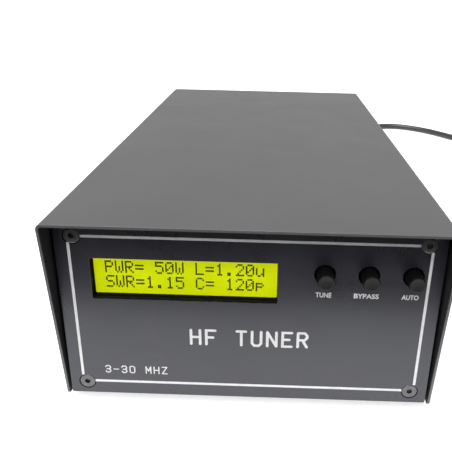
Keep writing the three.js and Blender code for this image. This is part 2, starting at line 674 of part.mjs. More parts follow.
// ---------------------------------------------------------------- push buttons
function buttonCap(place) {
  const socket = PLUNGER_SIDE + 2 * FIT;
  const front = -CAP_PROUD;
  const body = turnedY(place, [
    [0, front],
    [CAP_RADIUS - CAP_ROUNDING, front],
    [CAP_RADIUS, front + CAP_ROUNDING],
    [CAP_RADIUS, CAP_BACK],
    [0, CAP_BACK],
  ], 24);
  return cut(body, block(place, [socket, socket], PLUNGER_FRONT - FIT, CAP_BACK + OVERLAP));
}

function switchHousing(place) {
  const bore = PLUNGER_SIDE + 2 * FIT;
  const boreEnd = PLUNGER_FRONT + PLUNGER_LENGTH + BUTTON_TRAVEL + FIT;
  return cut(
    block(place, [SWITCH_SIDE, SWITCH_SIDE], SWITCH_FRONT, SWITCH_BACK),
    block(place, [bore, bore], SWITCH_FRONT - OVERLAP, boreEnd),
  );
}

function addButtons() {
  BUTTON_NAMES.forEach((name, i) => {
    const place = [buttonX(i), BUTTON_Z];
    const side = [PLUNGER_SIDE, PLUNGER_SIDE];
    const plunger = block(place, side, PLUNGER_FRONT, PLUNGER_FRONT + PLUNGER_LENGTH);
    add(name + "_cap", buttonCap(place), "buttonBlack");
    add(name + "_plunger", plunger, "switchBlack");
    add(name + "_switch", switchHousing(place), "switchBlack");
  });
  const left = buttonX(0) - BUTTON_BOARD_MARGIN;
  const right = LAST_BUTTON_X + BUTTON_BOARD_MARGIN;
  const middle = [(left + right) / 2, BUTTON_Z];
  const back = BUTTON_BOARD_FRONT + BOARD_THICKNESS;
  const holes = buttonPosts.map((place) =>
    rodY(place, M3_RADIUS, BUTTON_BOARD_FRONT - OVERLAP, back + OVERLAP, 12),
  );
  const board = block(middle, [right - left, BUTTON_BOARD_HEIGHT], BUTTON_BOARD_FRONT, back);
  add("button_board", cut(board, ...holes), "boardGreen");
}

// ---------------------------------------------------------------- coaxial sockets
function socketShell(i) {
  const place = [socketX(i), SOCKET_Z];
  const flangeEnd = SOCKET_SEAT + SOCKET_FLANGE_THICKNESS;
  const neckStart = REAR_INSIDE - SOCKET_NECK_INSIDE;
  const mouth = 2 * SOCKET_BARREL_RADIUS + OVERLAP;
  const body = join(
    block(place, [SOCKET_FLANGE, SOCKET_FLANGE], SOCKET_SEAT, flangeEnd),
    rodY(place, SOCKET_BARREL_RADIUS, flangeEnd - OVERLAP, SOCKET_MOUTH, 28),
    rodY(place, SOCKET_NECK_RADIUS, neckStart, flangeEnd - OVERLAP),
  );
  return cut(
    body,
    rodY(place, SOCKET_MOUTH_RADIUS, SOCKET_MOUTH - SOCKET_MOUTH_DEPTH, SOCKET_MOUTH + OVERLAP, 28),
    rodY(place, SOCKET_BORE_RADIUS, neckStart - OVERLAP, SOCKET_MOUTH),
    block(place, [SOCKET_NOTCH, mouth], SOCKET_MOUTH - OVERLAP, SOCKET_MOUTH + OVERLAP),
    block(place, [mouth, SOCKET_NOTCH], SOCKET_MOUTH - OVERLAP, SOCKET_MOUTH + OVERLAP),
    ...socketFlangeHoles(i).map((hole) =>
      rodY(hole, M3_RADIUS + FIT, SOCKET_SEAT - OVERLAP, flangeEnd + OVERLAP, 10),
    ),
  );
}

function socketInsulator(place) {
  const floor = SOCKET_MOUTH - SOCKET_MOUTH_DEPTH + FIT;
  const inner = CONTACT_RADIUS + FIT;
  const tail = REAR_INSIDE - INSULATOR_TAIL;
  return turnedY(place, [
    [inner, tail],
    [SOCKET_BORE_RADIUS - FIT, tail],
    [SOCKET_BORE_RADIUS - FIT, floor],
    [SOCKET_MOUTH_RADIUS - FIT, floor],
    [SOCKET_MOUTH_RADIUS - FIT, floor + INSULATOR_RIM],
    [inner, floor + INSULATOR_RIM],
    [inner, tail],
  ]);
}

function socketContact(place) {
  const tail = REAR_INSIDE - CONTACT_TAIL;
  const tip = SOCKET_MOUTH - CONTACT_INSET;
  const wireHole = WIRE_RADIUS + FIT;
  return turnedY(place, [
    [wireHole, tail],
    [CONTACT_RADIUS, tail],
    [CONTACT_RADIUS, tip],
    [CONTACT_BORE_RADIUS, tip],
    [CONTACT_BORE_RADIUS, tip - CONTACT_BORE_DEPTH],
    [0, tip - CONTACT_BORE_DEPTH],
    [0, tail + WIRE_HOLE_DEPTH],
    [wireHole, tail + WIRE_HOLE_DEPTH],
    [wireHole, tail],
  ], 16);
}

// A stiff wire from a socket's contact forward, then down onto the circuit board.
function socketWire(i) {
  const x = socketX(i);
  const start = REAR_INSIDE - CONTACT_TAIL + WIRE_IN_CONTACT;
  const turn = start - WIRE_REACH;
  const foot = BOARD_TOP + FIT;
  const route = [
    [x, start, SOCKET_Z], [x, turn + 8, SOCKET_Z], [x, turn + 2, SOCKET_Z - 2],
    [x, turn, SOCKET_Z - 8], [x, turn, (SOCKET_Z + foot) / 2], [x, turn, foot],
  ];
  return tube(route, WIRE_RADIUS, WIRE_SIDES, WIRE_STEP);
}

function addSockets() {
  SOCKET_NAMES.forEach((name, i) => {
    const place = [socketX(i), SOCKET_Z];
    add(name + "_socket_shell", socketShell(i), "nickel");
    add(name + "_socket_insulator", socketInsulator(place), "ptfe");
    add(name + "_socket_contact", socketContact(place), "brass");
    add(name + "_wire", socketWire(i), "copperWire");
  });
  const back = REAR_INSIDE - CONTACT_TAIL - SENSOR_GAP;
  const front = back - SENSOR_LENGTH;
  const sensor = turnedY([socketX(0), SOCKET_Z], [
    [SENSOR_INNER, front],
    [SENSOR_OUTER, front],
    [SENSOR_OUTER, back],
    [SENSOR_INNER, back],
    [SENSOR_INNER, front],
  ], 16);
  add("sensor_core", sensor, "darkFerrite");
}

// ---------------------------------------------------------------- ground terminal
function groundStud(place) {
  const head = hexY(place, HEX_FLATS, REAR_INSIDE - FIT - STUD_HEAD_HEIGHT, REAR_INSIDE - FIT);
  return join(head, rodY(place, STUD_RADIUS, REAR_INSIDE - FIT - OVERLAP, REAR_END));
}

function wingNut([x, z]) {
  const hub = turnedY([x, z], [
    [0, WING_NUT_BACK],
    [WING_HUB_RADIUS, WING_NUT_BACK],
    [WING_HUB_RADIUS - WING_TAPER, WING_NUT_BACK + WING_HUB_HEIGHT],
    [0, WING_NUT_BACK + WING_HUB_HEIGHT],
  ]);
  const earY = WING_NUT_BACK + WING_HUB_HEIGHT;
  const wing = (side) => {
    const shape = new THREE.Shape()
      .moveTo(0, WING_ROOT)
      .lineTo(WING_REACH, WING_HUB_HEIGHT - WING_EAR_RADIUS)
      .absarc(WING_REACH, WING_HUB_HEIGHT, WING_EAR_RADIUS, -Math.PI / 2, Math.PI * 0.75)
      .lineTo(0, WING_HUB_HEIGHT - WING_TAPER);
    const options = { depth: WING_THICKNESS, bevelEnabled: false, curveSegments: 6 };
    const flat = new THREE.ExtrudeGeometry(shape, options).translate(0, 0, -WING_THICKNESS / 2);
    if (side < 0) flat.rotateY(Math.PI);
    return solid(flat.translate(x, earY - WING_HUB_HEIGHT, z));
  };
  const bore = rodY([x, z], STUD_RADIUS + FIT, WING_NUT_BACK - OVERLAP, earY + WING_EAR_RADIUS + OVERLAP);
  return cut(join(hub, wing(1), wing(-1)), bore);
}

function addTerminal() {
  const place = [TERMINAL_X, TERMINAL_Z];
  const bore = rodY(place, STUD_RADIUS + FIT, REAR_FACE, REAR_END);
  const nut = hexY(place, HEX_FLATS, REAR_FACE + FIT, REAR_FACE + FIT + HEX_NUT_HEIGHT);
  const washer = rodY(place, WASHER_RADIUS, WASHER_BACK, WASHER_BACK + WASHER_THICKNESS, 24);
  add("ground_stud", groundStud(place), "brass");
  add("ground_hex_nut", cut(nut, bore), "brass");
  add("ground_washer", cut(washer, bore), "brass");
  add("ground_wing_nut", wingNut(place), "brass");
}

// ---------------------------------------------------------------- DC lead
function boot() {
  const inner = REAR_INSIDE - FIT;
  const outer = REAR_FACE + FIT;
  const body = outer + BOOT_LIP + BOOT_SHOULDER;
  return turnedY([BOOT_X, BOOT_Z], [
    [0, inner - BOOT_LIP],
    [BOOT_LIP_RADIUS, inner - BOOT_LIP],
    [BOOT_LIP_RADIUS, inner],
    [BOOT_GROOVE_RADIUS, inner],
    [BOOT_GROOVE_RADIUS, outer],
    [BOOT_LIP_RADIUS, outer],
    [BOOT_LIP_RADIUS, outer + BOOT_LIP],
    [BOOT_BASE_RADIUS, body],
    [BOOT_TIP_RADIUS, body + BOOT_LENGTH],
    [0, body + BOOT_LENGTH],
  ]);
}

function coil() {
  const bottom = LEAD_ROUTE.at(-1)[2] - LEAD_RADIUS;
  return turnedZ([COIL_X, REAR_FACE + COIL_Y], [
    [COIL_INNER, bottom],
    [COIL_OUTER, bottom],
    [COIL_OUTER, COIL_HEIGHT - COIL_CORNER],
    [COIL_OUTER - COIL_CORNER, COIL_HEIGHT],
    [COIL_INNER + COIL_CORNER, COIL_HEIGHT],
    [COIL_INNER, COIL_HEIGHT - COIL_CORNER],
    [COIL_INNER, bottom],
  ], 36);
}

function addLead() {
  const plugZ = TAIL_ROUTE.at(-1)[2];
  const plugStart = REAR_FACE + PLUG_Y;
  const plugEnd = plugStart + PLUG_LENGTH;
  const barrelStart = plugEnd + FIT;
  const plug = turnedY([PLUG_X, plugZ], [
    [0, plugStart],
    [PLUG_NECK_RADIUS, plugStart],
    [PLUG_RADIUS - PLUG_STEP, plugStart + PLUG_NECK],
    [PLUG_RADIUS, plugStart + PLUG_NECK + PLUG_STEP_LENGTH],
    [PLUG_RADIUS, plugEnd - PLUG_ROUNDING],
    [PLUG_RADIUS - PLUG_ROUNDING, plugEnd],
    [0, plugEnd],
  ]);
  const barrel = turnedY([PLUG_X, plugZ], [
    [0, barrelStart],
    [BARREL_RADIUS, barrelStart],
    [BARREL_RADIUS, barrelStart + BARREL_LENGTH],
    [BARREL_BORE_RADIUS, barrelStart + BARREL_LENGTH],
    [BARREL_BORE_RADIUS, barrelStart + BARREL_FLOOR],
    [0, barrelStart + BARREL_FLOOR],
  ], 16);
  add("lead_boot", boot(), "rubber");
  add("power_lead", tube(LEAD_ROUTE.map(behindRear), LEAD_RADIUS, LEAD_SIDES, LEAD_STEP), "leadJacket");
  add("lead_coil", coil(), "leadJacket");
  add("lead_tail", tube(TAIL_ROUTE.map(behindRear), LEAD_RADIUS, LEAD_SIDES, LEAD_STEP / 2), "leadJacket");
  add("lead_plug", plug, "plugMoulding");
  add("lead_plug_barrel", barrel, "nickel");
}

// ---------------------------------------------------------------- circuit board
function relayRow(side) {
  const [width, depth, height] = RELAY_SIZE;
  const x = side * RELAY_X;
  const bottom = BOARD_TOP + FIT;
  const start = BOARD_START + RELAY_ROW_FRONT;
  const end = start + (RELAY_COUNT - 1) * RELAY_PITCH;
  const base = box(
    [x - width / 2, start - depth / 2, bottom],
    [x + width / 2, end + depth / 2, bottom + RELAY_BASE],
  );
  const cases = Array.from({ length: RELAY_COUNT }, (_, i) => {
    const y = start + i * RELAY_PITCH;
    return box(
      [x - width / 2, y - depth / 2, bottom],
      [x + width / 2, y + depth / 2, bottom + height],
    );
  });
  return join(base, ...cases);
}

function inductor(i) {
  const bottom = BOARD_TOP + FIT;
  const top = bottom + CORE_HEIGHT;
  return turnedZ([0, BOARD_START + FIRST_CORE + i * CORE_PITCH], [
    [CORE_INNER + CORE_ROUNDING, bottom],
    [CORE_OUTER - CORE_ROUNDING, bottom],
    [CORE_OUTER, bottom + CORE_ROUNDING],
    [CORE_OUTER, top - CORE_ROUNDING],
    [CORE_OUTER - CORE_ROUNDING, top],
    [CORE_INNER + CORE_ROUNDING, top],
    [CORE_INNER, top - CORE_ROUNDING],
    [CORE_INNER, bottom + CORE_ROUNDING],
    [CORE_INNER + CORE_ROUNDING, bottom],
  ]);
}

function addCircuit() {
  const half = BOARD_WIDTH / 2;
  const board = box([-half, BOARD_START, BOARD_UNDERSIDE], [half, BOARD_END, BOARD_TOP]);
  const holes = boardPosts.map((place) =>
    rodZ(place, M3_RADIUS + FIT, BOARD_UNDERSIDE - OVERLAP, BOARD_TOP + OVERLAP),
  );
  add("main_board", cut(board, ...holes), "boardGreen");
  boardPosts.forEach((place, i) => add("board_screw_" + (i + 1), boardScrew(place), "screwSteel"));
  add("capacitor_relays", relayRow(-1), "relayCase");
  add("inductor_relays", relayRow(1), "relayCase");
  for (let i = 0; i < CORE_COUNT; i += 1) add("inductor_" + (i + 1), inductor(i), "ferrite");
}

addCase();
addDisplay();
addButtons();
addSockets();
addTerminal();
addLead();
addCircuit();

export default tuner;
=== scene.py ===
import math

import bmesh
import bpy
from mathutils import Matrix, Vector
from mathutils.geometry import tessellate_polygon


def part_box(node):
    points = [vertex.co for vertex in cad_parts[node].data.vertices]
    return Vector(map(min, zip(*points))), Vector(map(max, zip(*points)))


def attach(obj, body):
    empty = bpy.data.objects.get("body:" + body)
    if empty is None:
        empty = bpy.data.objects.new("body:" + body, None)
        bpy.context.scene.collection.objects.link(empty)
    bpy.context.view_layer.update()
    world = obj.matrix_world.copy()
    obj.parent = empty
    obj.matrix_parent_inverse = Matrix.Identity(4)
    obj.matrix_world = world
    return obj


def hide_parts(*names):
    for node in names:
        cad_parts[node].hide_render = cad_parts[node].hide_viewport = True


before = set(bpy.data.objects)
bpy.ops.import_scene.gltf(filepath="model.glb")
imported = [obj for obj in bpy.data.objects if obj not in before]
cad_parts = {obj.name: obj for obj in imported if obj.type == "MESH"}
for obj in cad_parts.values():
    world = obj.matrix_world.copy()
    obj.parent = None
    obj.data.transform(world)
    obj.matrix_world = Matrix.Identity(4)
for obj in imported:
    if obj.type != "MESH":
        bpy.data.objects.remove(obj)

bpy.context.view_layer.update()
MM = 0.001
scene = bpy.context.scene


def span(node):
    """A CAD node's lowest and highest corners in millimetres."""
    low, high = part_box(node)
    return low / MM, high / MM


def middle(node):
    """The x, y and z of the middle of a CAD node's box in millimetres."""
    return [(a + b) / 2 for a, b in zip(*span(node))]


BOARD_UNDER, BOARD_TOP = 14.08, 15.72  # just clear of the main board's faces
GAP = 0.3  # between pieces that touch
REAR_SHEET = 1.5  # thickness of the chassis
cover_low, cover_high = span("top_cover")
panel_low, panel_high = span("front_panel")
FACE = panel_low.y
REAR = span("chassis")[1].y
BASE = cover_low.z
TOP = cover_high.z
HALF = cover_high.x

# ---------------------------------------------------------------- camera
CAMERA_PLACE = Vector((7.216, FACE - 162.523, BASE + 148.462)) * MM
CAMERA_YAW, CAMERA_PITCH, CAMERA_ROLL = -0.014, -0.356, 0.023
LENS, SENSOR = 42.225531, 36
SHIFT_X, SHIFT_Y = -0.0873673, -0.0888274  # as shares of the picture's width


def camera():
    data = bpy.data.cameras.new("camera")
    data.sensor_width = SENSOR
    data.lens = LENS
    data.shift_x = SHIFT_X
    data.shift_y = SHIFT_Y
    data.clip_start = 0.01
    data.clip_end = 20
    yaw, pitch = CAMERA_YAW, CAMERA_PITCH
    ahead = Vector((math.sin(yaw) * math.cos(pitch), math.cos(yaw) * math.cos(pitch), math.sin(pitch)))
    level = Vector((math.cos(yaw), -math.sin(yaw), 0))
    up = level.cross(ahead)
    right = level * math.cos(CAMERA_ROLL) + up * math.sin(CAMERA_ROLL)
    up = up * math.cos(CAMERA_ROLL) - level * math.sin(CAMERA_ROLL)
    made = bpy.data.objects.new("camera", data)
    turn = Matrix((right, up, -ahead)).transposed().to_4x4()
    made.matrix_world = Matrix.Translation(CAMERA_PLACE) @ turn
    scene.collection.objects.link(made)
    scene.camera = made


camera()

# ---------------------------------------------------------------- mesh code
UP = Matrix.Identity(4)
FRONT = Matrix(((1, 0, 0, 0), (0, 0, -1, 0), (0, 1, 0, 0), (0, 0, 0, 1)))
BACK = Matrix(((-1, 0, 0, 0), (0, 0, 1, 0), (0, 1, 0, 0), (0, 0, 0, 1)))
RIGHT = Matrix(((0, 0, 1, 0), (1, 0, 0, 0), (0, 1, 0, 0), (0, 0, 0, 1)))
LEFT = Matrix(((0, 0, -1, 0), (-1, 0, 0, 0), (0, 1, 0, 0), (0, 0, 0, 1)))


def at(x, y, z, turn=UP):
    return Matrix.Translation((x, y, z)) @ turn


def piece(name, bm, surface, stands_for=(), body="case", sharp=34, weighted=True):
    """Makes an object of the mesh, in metres, with its surface, and ties it to the frame. stands_for is
    the CAD node, or the nodes, that it replaces."""
    bmesh.ops.remove_doubles(bm, verts=bm.verts, dist=1e-5)
    bmesh.ops.recalc_face_normals(bm, faces=bm.faces)
    bm.transform(Matrix.Scale(MM, 4))
    mesh = bpy.data.meshes.new(name)
    bm.to_mesh(mesh)
    bm.free()
    mesh.materials.append(surface)
    mesh.shade_smooth()
    mesh.set_sharp_from_angle(angle=math.radians(sharp))
    made = bpy.data.objects.new(name, mesh)
    scene.collection.objects.link(made)
    if weighted:
        made.modifiers.new("normals", "WEIGHTED_NORMAL").keep_sharp = True
    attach(made, body)
    if stands_for:
        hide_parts(*([stands_for] if isinstance(stands_for, str) else stands_for))
    return made


def repaint(made, finish_for_faces, chosen):
    """Gives the faces whose middle, in millimetres, and normal are chosen another finish."""
    made.data.materials.append(finish_for_faces)
    last = len(made.data.materials) - 1
    for face in made.data.polygons:
        if chosen(face.center / MM, face.normal):
            face.material_index = last


def turning(low, high, count):
    return [low + (high - low) * i / count for i in range(count + 1)]


def arc(x, y, radius, angles):
    return [Vector((x + radius * math.cos(a), y + radius * math.sin(a))) for a in angles]


def circle(x, y, radius, count=40, start=0.0):
    return arc(x, y, radius, [start + 2 * math.pi * i / count for i in range(count)])


def rect(x0, y0, x1, y1, corner=0.0, steps=5):
    if not corner:
        return [Vector(p) for p in ((x0, y0), (x1, y0), (x1, y1), (x0, y1))]
    points = []
    middles = ((x1 - corner, y0 + corner), (x1 - corner, y1 - corner))
    middles += ((x0 + corner, y1 - corner), (x0 + corner, y0 + corner))
    for quarter, (x, y) in enumerate(middles):
        points += arc(x, y, corner, turning((quarter - 1) * math.pi / 2, quarter * math.pi / 2, steps))
    return points


def around(x, y, width, height, corner=0.0, steps=5):
    return rect(x - width / 2, y - height / 2, x + width / 2, y + height / 2, corner, steps)


def area(loop):
    return sum(loop[i - 1].x * p.y - p.x * loop[i - 1].y for i, p in enumerate(loop)) / 2


def inset(loop, amount):
    """A closed loop moved to the left of its direction of travel."""
    moved = []
    for i, point in enumerate(loop):
        before = (point - loop[i - 1]).normalized()
        after = (loop[(i + 1) % len(loop)] - point).normalized()
        side = Vector((-before.y - after.y, before.x + after.x)).normalized()
        reach = max(side.dot(Vector((-before.y, before.x))), 0.3)
        moved.append(point + side * (amount / reach))
    return moved


def bridge(bm, rings, closed=False):
    """Quads between rings of equal length, one after the other."""
    pairs = list(zip(rings, rings[1:]))
    if closed:
        pairs.append((rings[-1], rings[0]))
    for low, high in pairs:
        for i in range(len(low)):
            bm.faces.new((low[i - 1], low[i], high[i], high[i - 1]))


def edge_steps(low, high, bevel, steps):
    """(inset, height) from the rim of the lower face to the rim of the upper face."""
    if not bevel:
        return [(0, low), (0, high)]
    angles = turning(0, math.pi / 2, steps)
    rise = [(bevel * (1 - math.sin(a)), low + bevel * (1 - math.cos(a))) for a in angles]
    return rise + [(amount, low + high - height) for amount, height in reversed(rise)]


def fill(bm, rims):
    """One flat face inside the first rim and outside the others."""
    flat = [vert for rim in rims for vert in rim]
    for triangle in tessellate_polygon([[vert.co for vert in rim] for rim in rims]):
        bm.faces.new([flat[i] for i in triangle])


def plate(bm, loops, low, high, turn, bevel=0.0, steps=2, lift=None):
    """A closed flat solid: the first loop is its outline, the others are holes. lift bends its height."""
    bottoms, tops = [], []
    for i, loop in enumerate(loops):
        loop = list(loop) if (area(loop) > 0) == (i == 0) else list(reversed(loop))
        rings = []
        for amount, height in edge_steps(low, high, bevel, steps):
            ring = []
            for p in inset(loop, amount):
                shift = lift(p, height) if lift else 0
                ring.append(bm.verts.new(turn @ Vector((p.x, p.y, height + shift))))
            rings.append(ring)
        bridge(bm, rings)
        bottoms.append(rings[0])
        tops.append(rings[-1])
    fill(bm, bottoms)
    fill(bm, tops)
    return bm


def upright(name, node, loops, surface, bevel, steps=2, body="case"):
    """A plate that faces the front and is as deep as the CAD node that it replaces."""
    low, high = span(node)
    return piece(name, plate(bmesh.new(), loops, -high.y, -low.y, FRONT, bevel, steps), surface, node, body)


def turned(bm, profile, turn, steps=40, recess=None, depth=0.0):
    """A solid turned about the local z axis. With a recess its first ring is a flat face with that hole."""
    rings = []
    for radius, height in profile:
        if radius < 1e-6:
            rings.append([bm.verts.new(turn @ Vector((0, 0, height)))])
        else:
            loop = circle(0, 0, radius, steps)
            rings.append([bm.verts.new(turn @ Vector((p.x, p.y, height))) for p in loop])
    for low, high in zip(rings, rings[1:]):
        count = max(len(low), len(high))
        for i in range(count):
            corners = [low[i - 1], low[i], high[i], high[i - 1]] if len(low) == len(high) else (
                [low[0], high[i], high[i - 1]] if len(low) == 1 else [low[i - 1], low[i], high[0]]
            )
            bm.faces.new(corners)
    if recess:
        height = profile[0][1]
        mouth = [bm.verts.new(turn @ Vector((p.x, p.y, height))) for p in recess]
        floor = [bm.verts.new(turn @ Vector((p.x, p.y, height - depth))) for p in recess]
        fill(bm, [rings[0], mouth])
        bridge(bm, [mouth, floor])
        fill(bm, [floor])
    return bm


def sleeve(bm, loops, turn):
    """A closed band through loops of equal length, each given with its height."""
    rings = [
        [bm.verts.new(turn @ Vector((p.x, p.y, height))) for p in loop] for loop, height in loops
    ]
    bridge(bm, rings, closed=True)
    return bm


def collar(bm, profile, turn, steps):
    """A closed ring about the local z axis, from a profile of (radius, height) round its section."""
    return sleeve(bm, [(circle(0, 0, radius, steps), height) for radius, height in profile], turn)


def smooth_path(points, parts):
    """A Catmull-Rom line through the points, evened out by their distances."""
    p = [2 * points[0] - points[1], *points, 2 * points[-1] - points[-2]]
    line = []
    for a, b, c, d in zip(p, p[1:], p[2:], p[3:]):
        t1 = math.sqrt((b - a).length)
        t2 = t1 + math.sqrt((c - b).length)
        t3 = t2 + math.sqrt((d - c).length)
        for i in range(parts):
            t = t1 + (t2 - t1) * i / parts
            ab = a.lerp(b, t / t1)
            bc = b.lerp(c, (t - t1) / (t2 - t1))
            cd = c.lerp(d, (t - t2) / (t3 - t2))
            line.append(ab.lerp(bc, t / t2).lerp(bc.lerp(cd, (t - t1) / (t3 - t1)), (t - t1) / (t2 - t1)))
    line.append(points[-1])
    return line


def sweep(bm, path, section, side=Vector((0, 0, 1))):
    """A closed tube along the path. section is a loop of (sideways, upward) offsets or a radius."""
    if not isinstance(section, list):
        section = circle(0, 0, section, 12)
    rings = []
    up = side
    for i, point in enumerate(path):
        along = (path[min(i + 1, len(path) - 1)] - path[max(i - 1, 0)]).normalized()
        up = (up - along * up.dot(along)).normalized()
        across = along.cross(up)
        rings.append([bm.verts.new(point + across * p.x + up * p.y) for p in section])
    bridge(bm, rings)
    fill(bm, [rings[0]])
    fill(bm, [rings[-1]])
    return bm


# ---------------------------------------------------------------- finishes
def node(tree, kind, inputs=(), **settings):
    """A shader node. An input is a number, a colour or another node's socket."""
    made = tree.nodes.new(kind)
    for key, value in settings.items():
        setattr(made, key, value)
    for key, value in dict(inputs).items():
        if isinstance(value, bpy.types.NodeSocket):
            tree.links.new(value, made.inputs[key])
        else:
            made.inputs[key].default_value = value
    return made


def noise(tree, place, scale, detail=3.0, rough=0.55):
    inputs = {"Vector": place, "Scale": scale, "Detail": detail, "Roughness": rough}
    return node(tree, "ShaderNodeTexNoise", inputs).outputs["Fac"]


def between(tree, value, low, high, start=0.3, end=0.7):
    """Maps a pattern from start..end onto low..high."""
    inputs = {"Value": value, "From Min": start, "From Max": end, "To Min": low, "To Max": high}
    return node(tree, "ShaderNodeMapRange", inputs).outputs["Result"]


def blended(tree, factor, first, second):
    made = node(tree, "ShaderNodeMix", data_type="RGBA")
    for index, value in ((0, factor), (6, first), (7, second)):
        if isinstance(value, bpy.types.NodeSocket):
            tree.links.new(value, made.inputs[index])
        else:
            made.inputs[index].default_value = value
    return made.outputs[2]


def grey(value, tint=0.0):
    return (value, value, value * (1 + tint), 1)


def finish(name, dark, light, rough, metal=0.0, patch=60.0, grain=1800.0, relief=0.01, stretch=(1, 1, 1),
           speck=0.12, wear=None, extra=None, slot=None, **sockets):
    """A surface with broad patches between two colours, fine specks, uneven gloss, a fine relief in
    millimetres, and wear on its edges. patch and grain are features per metre."""
    made = bpy.data.materials.new(name)
    made.use_nodes = True
    tree = made.node_tree
    shader = tree.nodes["Principled BSDF"]
    shader.inputs["Metallic"].default_value = metal
    for key, value in sockets.items():
        shader.inputs[key.replace("_", " ")].default_value = value
    place = node(tree, "ShaderNodeTexCoord").outputs["Object"]
    place = node(tree, "ShaderNodeMapping", {"Vector": place, "Scale": stretch}).outputs["Vector"]
    broad = noise(tree, place, patch, 4.0)
    fine = noise(tree, place, grain, 3.0, 0.6)
    colour = blended(tree, between(tree, broad, 0.0, 1.0, 0.35, 0.65), dark, light)
    shade = tuple(c * (1 - 2 * speck) for c in dark[:3]) + (1,)
    colour = blended(tree, between(tree, fine, 0.6, 0.0, 0.3, 0.5), colour, shade)
    gloss = between(tree, noise(tree, place, patch * 2.7, 5.0), rough[0], rough[1])
    height = fine
    if extra:
        colour, gloss, height = extra(tree, place, colour, gloss, height)
    if wear:
        soft = node(tree, "ShaderNodeBevel", {"Radius": 0.4 * MM}, samples=4).outputs["Normal"]
        hard = node(tree, "ShaderNodeNewGeometry").outputs["Normal"]
        facing = node(tree, "ShaderNodeVectorMath", {0: soft, 1: hard}, operation="DOT_PRODUCT")
        worn = between(tree, facing.outputs["Value"], 0.6, 0.0, 0.85, 0.995)
        rubbed = between(tree, noise(tree, place, 400.0), 0.1, 1.0, 0.45, 0.6)
        worn = node(tree, "ShaderNodeMath", {0: worn, 1: rubbed}, operation="MULTIPLY").outputs[0]
        colour = blended(tree, worn, colour, wear)
    tree.links.new(colour, shader.inputs["Base Color"])
    tree.links.new(gloss, shader.inputs["Roughness"])
    bump = node(tree, "ShaderNodeBump", {"Height": height, "Distance": relief * MM})
    tree.links.new(bump.outputs["Normal"], shader.inputs["Normal"])
    return made


def tracks(tree, place, colour, gloss, height):
    """Copper tracks that show through a solder mask."""
    turned_place = node(tree, "ShaderNodeMapping", {"Vector": place, "Rotation": (0, 0, 0.8)})
    bricks = node(tree, "ShaderNodeTexBrick", {
        "Vector": place, "Scale": 60.0, "Mortar Size": 0.035, "Brick Width": 0.9, "Row Height": 0.16,
        "Color1": grey(0.0), "Color2": grey(0.0), "Mortar": grey(1.0),
    }).outputs["Fac"]
    islands = noise(tree, turned_place.outputs["Vector"], 70.0, 1.0)
    shown = node(tree, "ShaderNodeMath", {0: bricks, 1: between(tree, islands, 0.0, 1.0, 0.48, 0.52)},
                 operation="MULTIPLY").outputs[0]
    colour = blended(tree, shown, colour, (0.03, 0.17, 0.06, 1))
    raised = node(tree, "ShaderNodeMath", {0: shown, 1: 1.5, 2: height}, operation="MULTIPLY_ADD")
    return colour, gloss, raised.outputs[0]


COVER_PAINT = finish("cover_paint", grey(0.087, 0.02), grey(0.094, 0.02), (0.42, 0.48), patch=14, grain=2600,
                     relief=0.02, speck=0.06, wear=grey(0.2), Specular_IOR_Level=0.55)
PANEL_BLACK = finish("panel_black", grey(0.014, 0.4), grey(0.017, 0.4), (0.26, 0.33), patch=22, grain=3600,
                     relief=0.006, speck=0.08, wear=grey(0.1), Specular_IOR_Level=0.85,
                     Specular_Tint=(0.95, 0.96, 1, 1))
# Painted shade: a darker, duller copy of the panel's black for the walls of its holes, standing in for the
# shade in those recesses.
HOLE_WALL_SHADE = finish("panel_hole_shade", grey(0.004), grey(0.006), (0.7, 0.8), patch=200, grain=3000,
                    Specular_IOR_Level=0.1)
# Painted shade: a darker, duller copy of the cover paint for the cover's inner faces, standing in for the
# shade inside the case.
COVER_INSIDE_SHADE = finish("cover_inside_shade", grey(0.014, 0.1), grey(0.018, 0.1), (0.55, 0.65), patch=30, grain=2600,
                      relief=0.02, Specular_IOR_Level=0.25)
WHITE_INK = finish("white_ink", grey(0.66), grey(0.74), (0.4, 0.55), patch=300, grain=5000, relief=0.004,
                   slot="panel_black")
ZINC = finish("zinc_steel", grey(0.46, 0.05), grey(0.52, 0.04), (0.32, 0.42), 1.0, patch=120, grain=700,
              relief=0.004, stretch=(1, 6, 1))
SCREW_STEEL = finish("screw_steel", grey(0.13), grey(0.17), (0.32, 0.45), 1.0, patch=500, grain=3000,
                     relief=0.006, wear=grey(0.3))
BLACK_STEEL = finish("black_steel", grey(0.004), grey(0.007), (0.5, 0.65), patch=120, grain=2400,
                     Specular_IOR_Level=0.2)
RUBBER = finish("foot_rubber", grey(0.014), grey(0.022), (0.72, 0.9), patch=200, grain=2500, relief=0.05)
GLASS = finish("display_glass", (0.93, 0.96, 0.9, 1), (0.97, 0.99, 0.95, 1), (0.02, 0.05), patch=60,
               grain=900, relief=0.0005, speck=0.0, Transmission_Weight=1.0, IOR=1.25)
BACKLIGHT = finish("backlight", (0.3, 0.36, 0.002, 1), (0.4, 0.46, 0.004, 1), (0.6, 0.7), patch=30,
                   grain=800, relief=0.002, speck=0.03, Emission_Color=(0.62, 0.68, 0.001, 1),
                   Emission_Strength=0.85, Specular_IOR_Level=0.1)
LIQUID = finish("display_dots", (0.055, 0.075, 0.004, 1), (0.075, 0.1, 0.006, 1), (0.3, 0.4), patch=400,
                grain=3000, relief=0.001, slot="display_glass")
BOARD = finish("circuit_board", (0.012, 0.075, 0.03, 1), (0.02, 0.11, 0.045, 1), (0.25, 0.4), patch=80,
               grain=1500, relief=0.012, extra=tracks)
RIBBON = finish("ribbon_pvc", grey(0.28), grey(0.36), (0.5, 0.65), patch=90, grain=1500)
BUTTON = finish("button_plastic", grey(0.007), grey(0.01), (0.42, 0.5), patch=260, grain=3000,
                relief=0.008, speck=0.1)
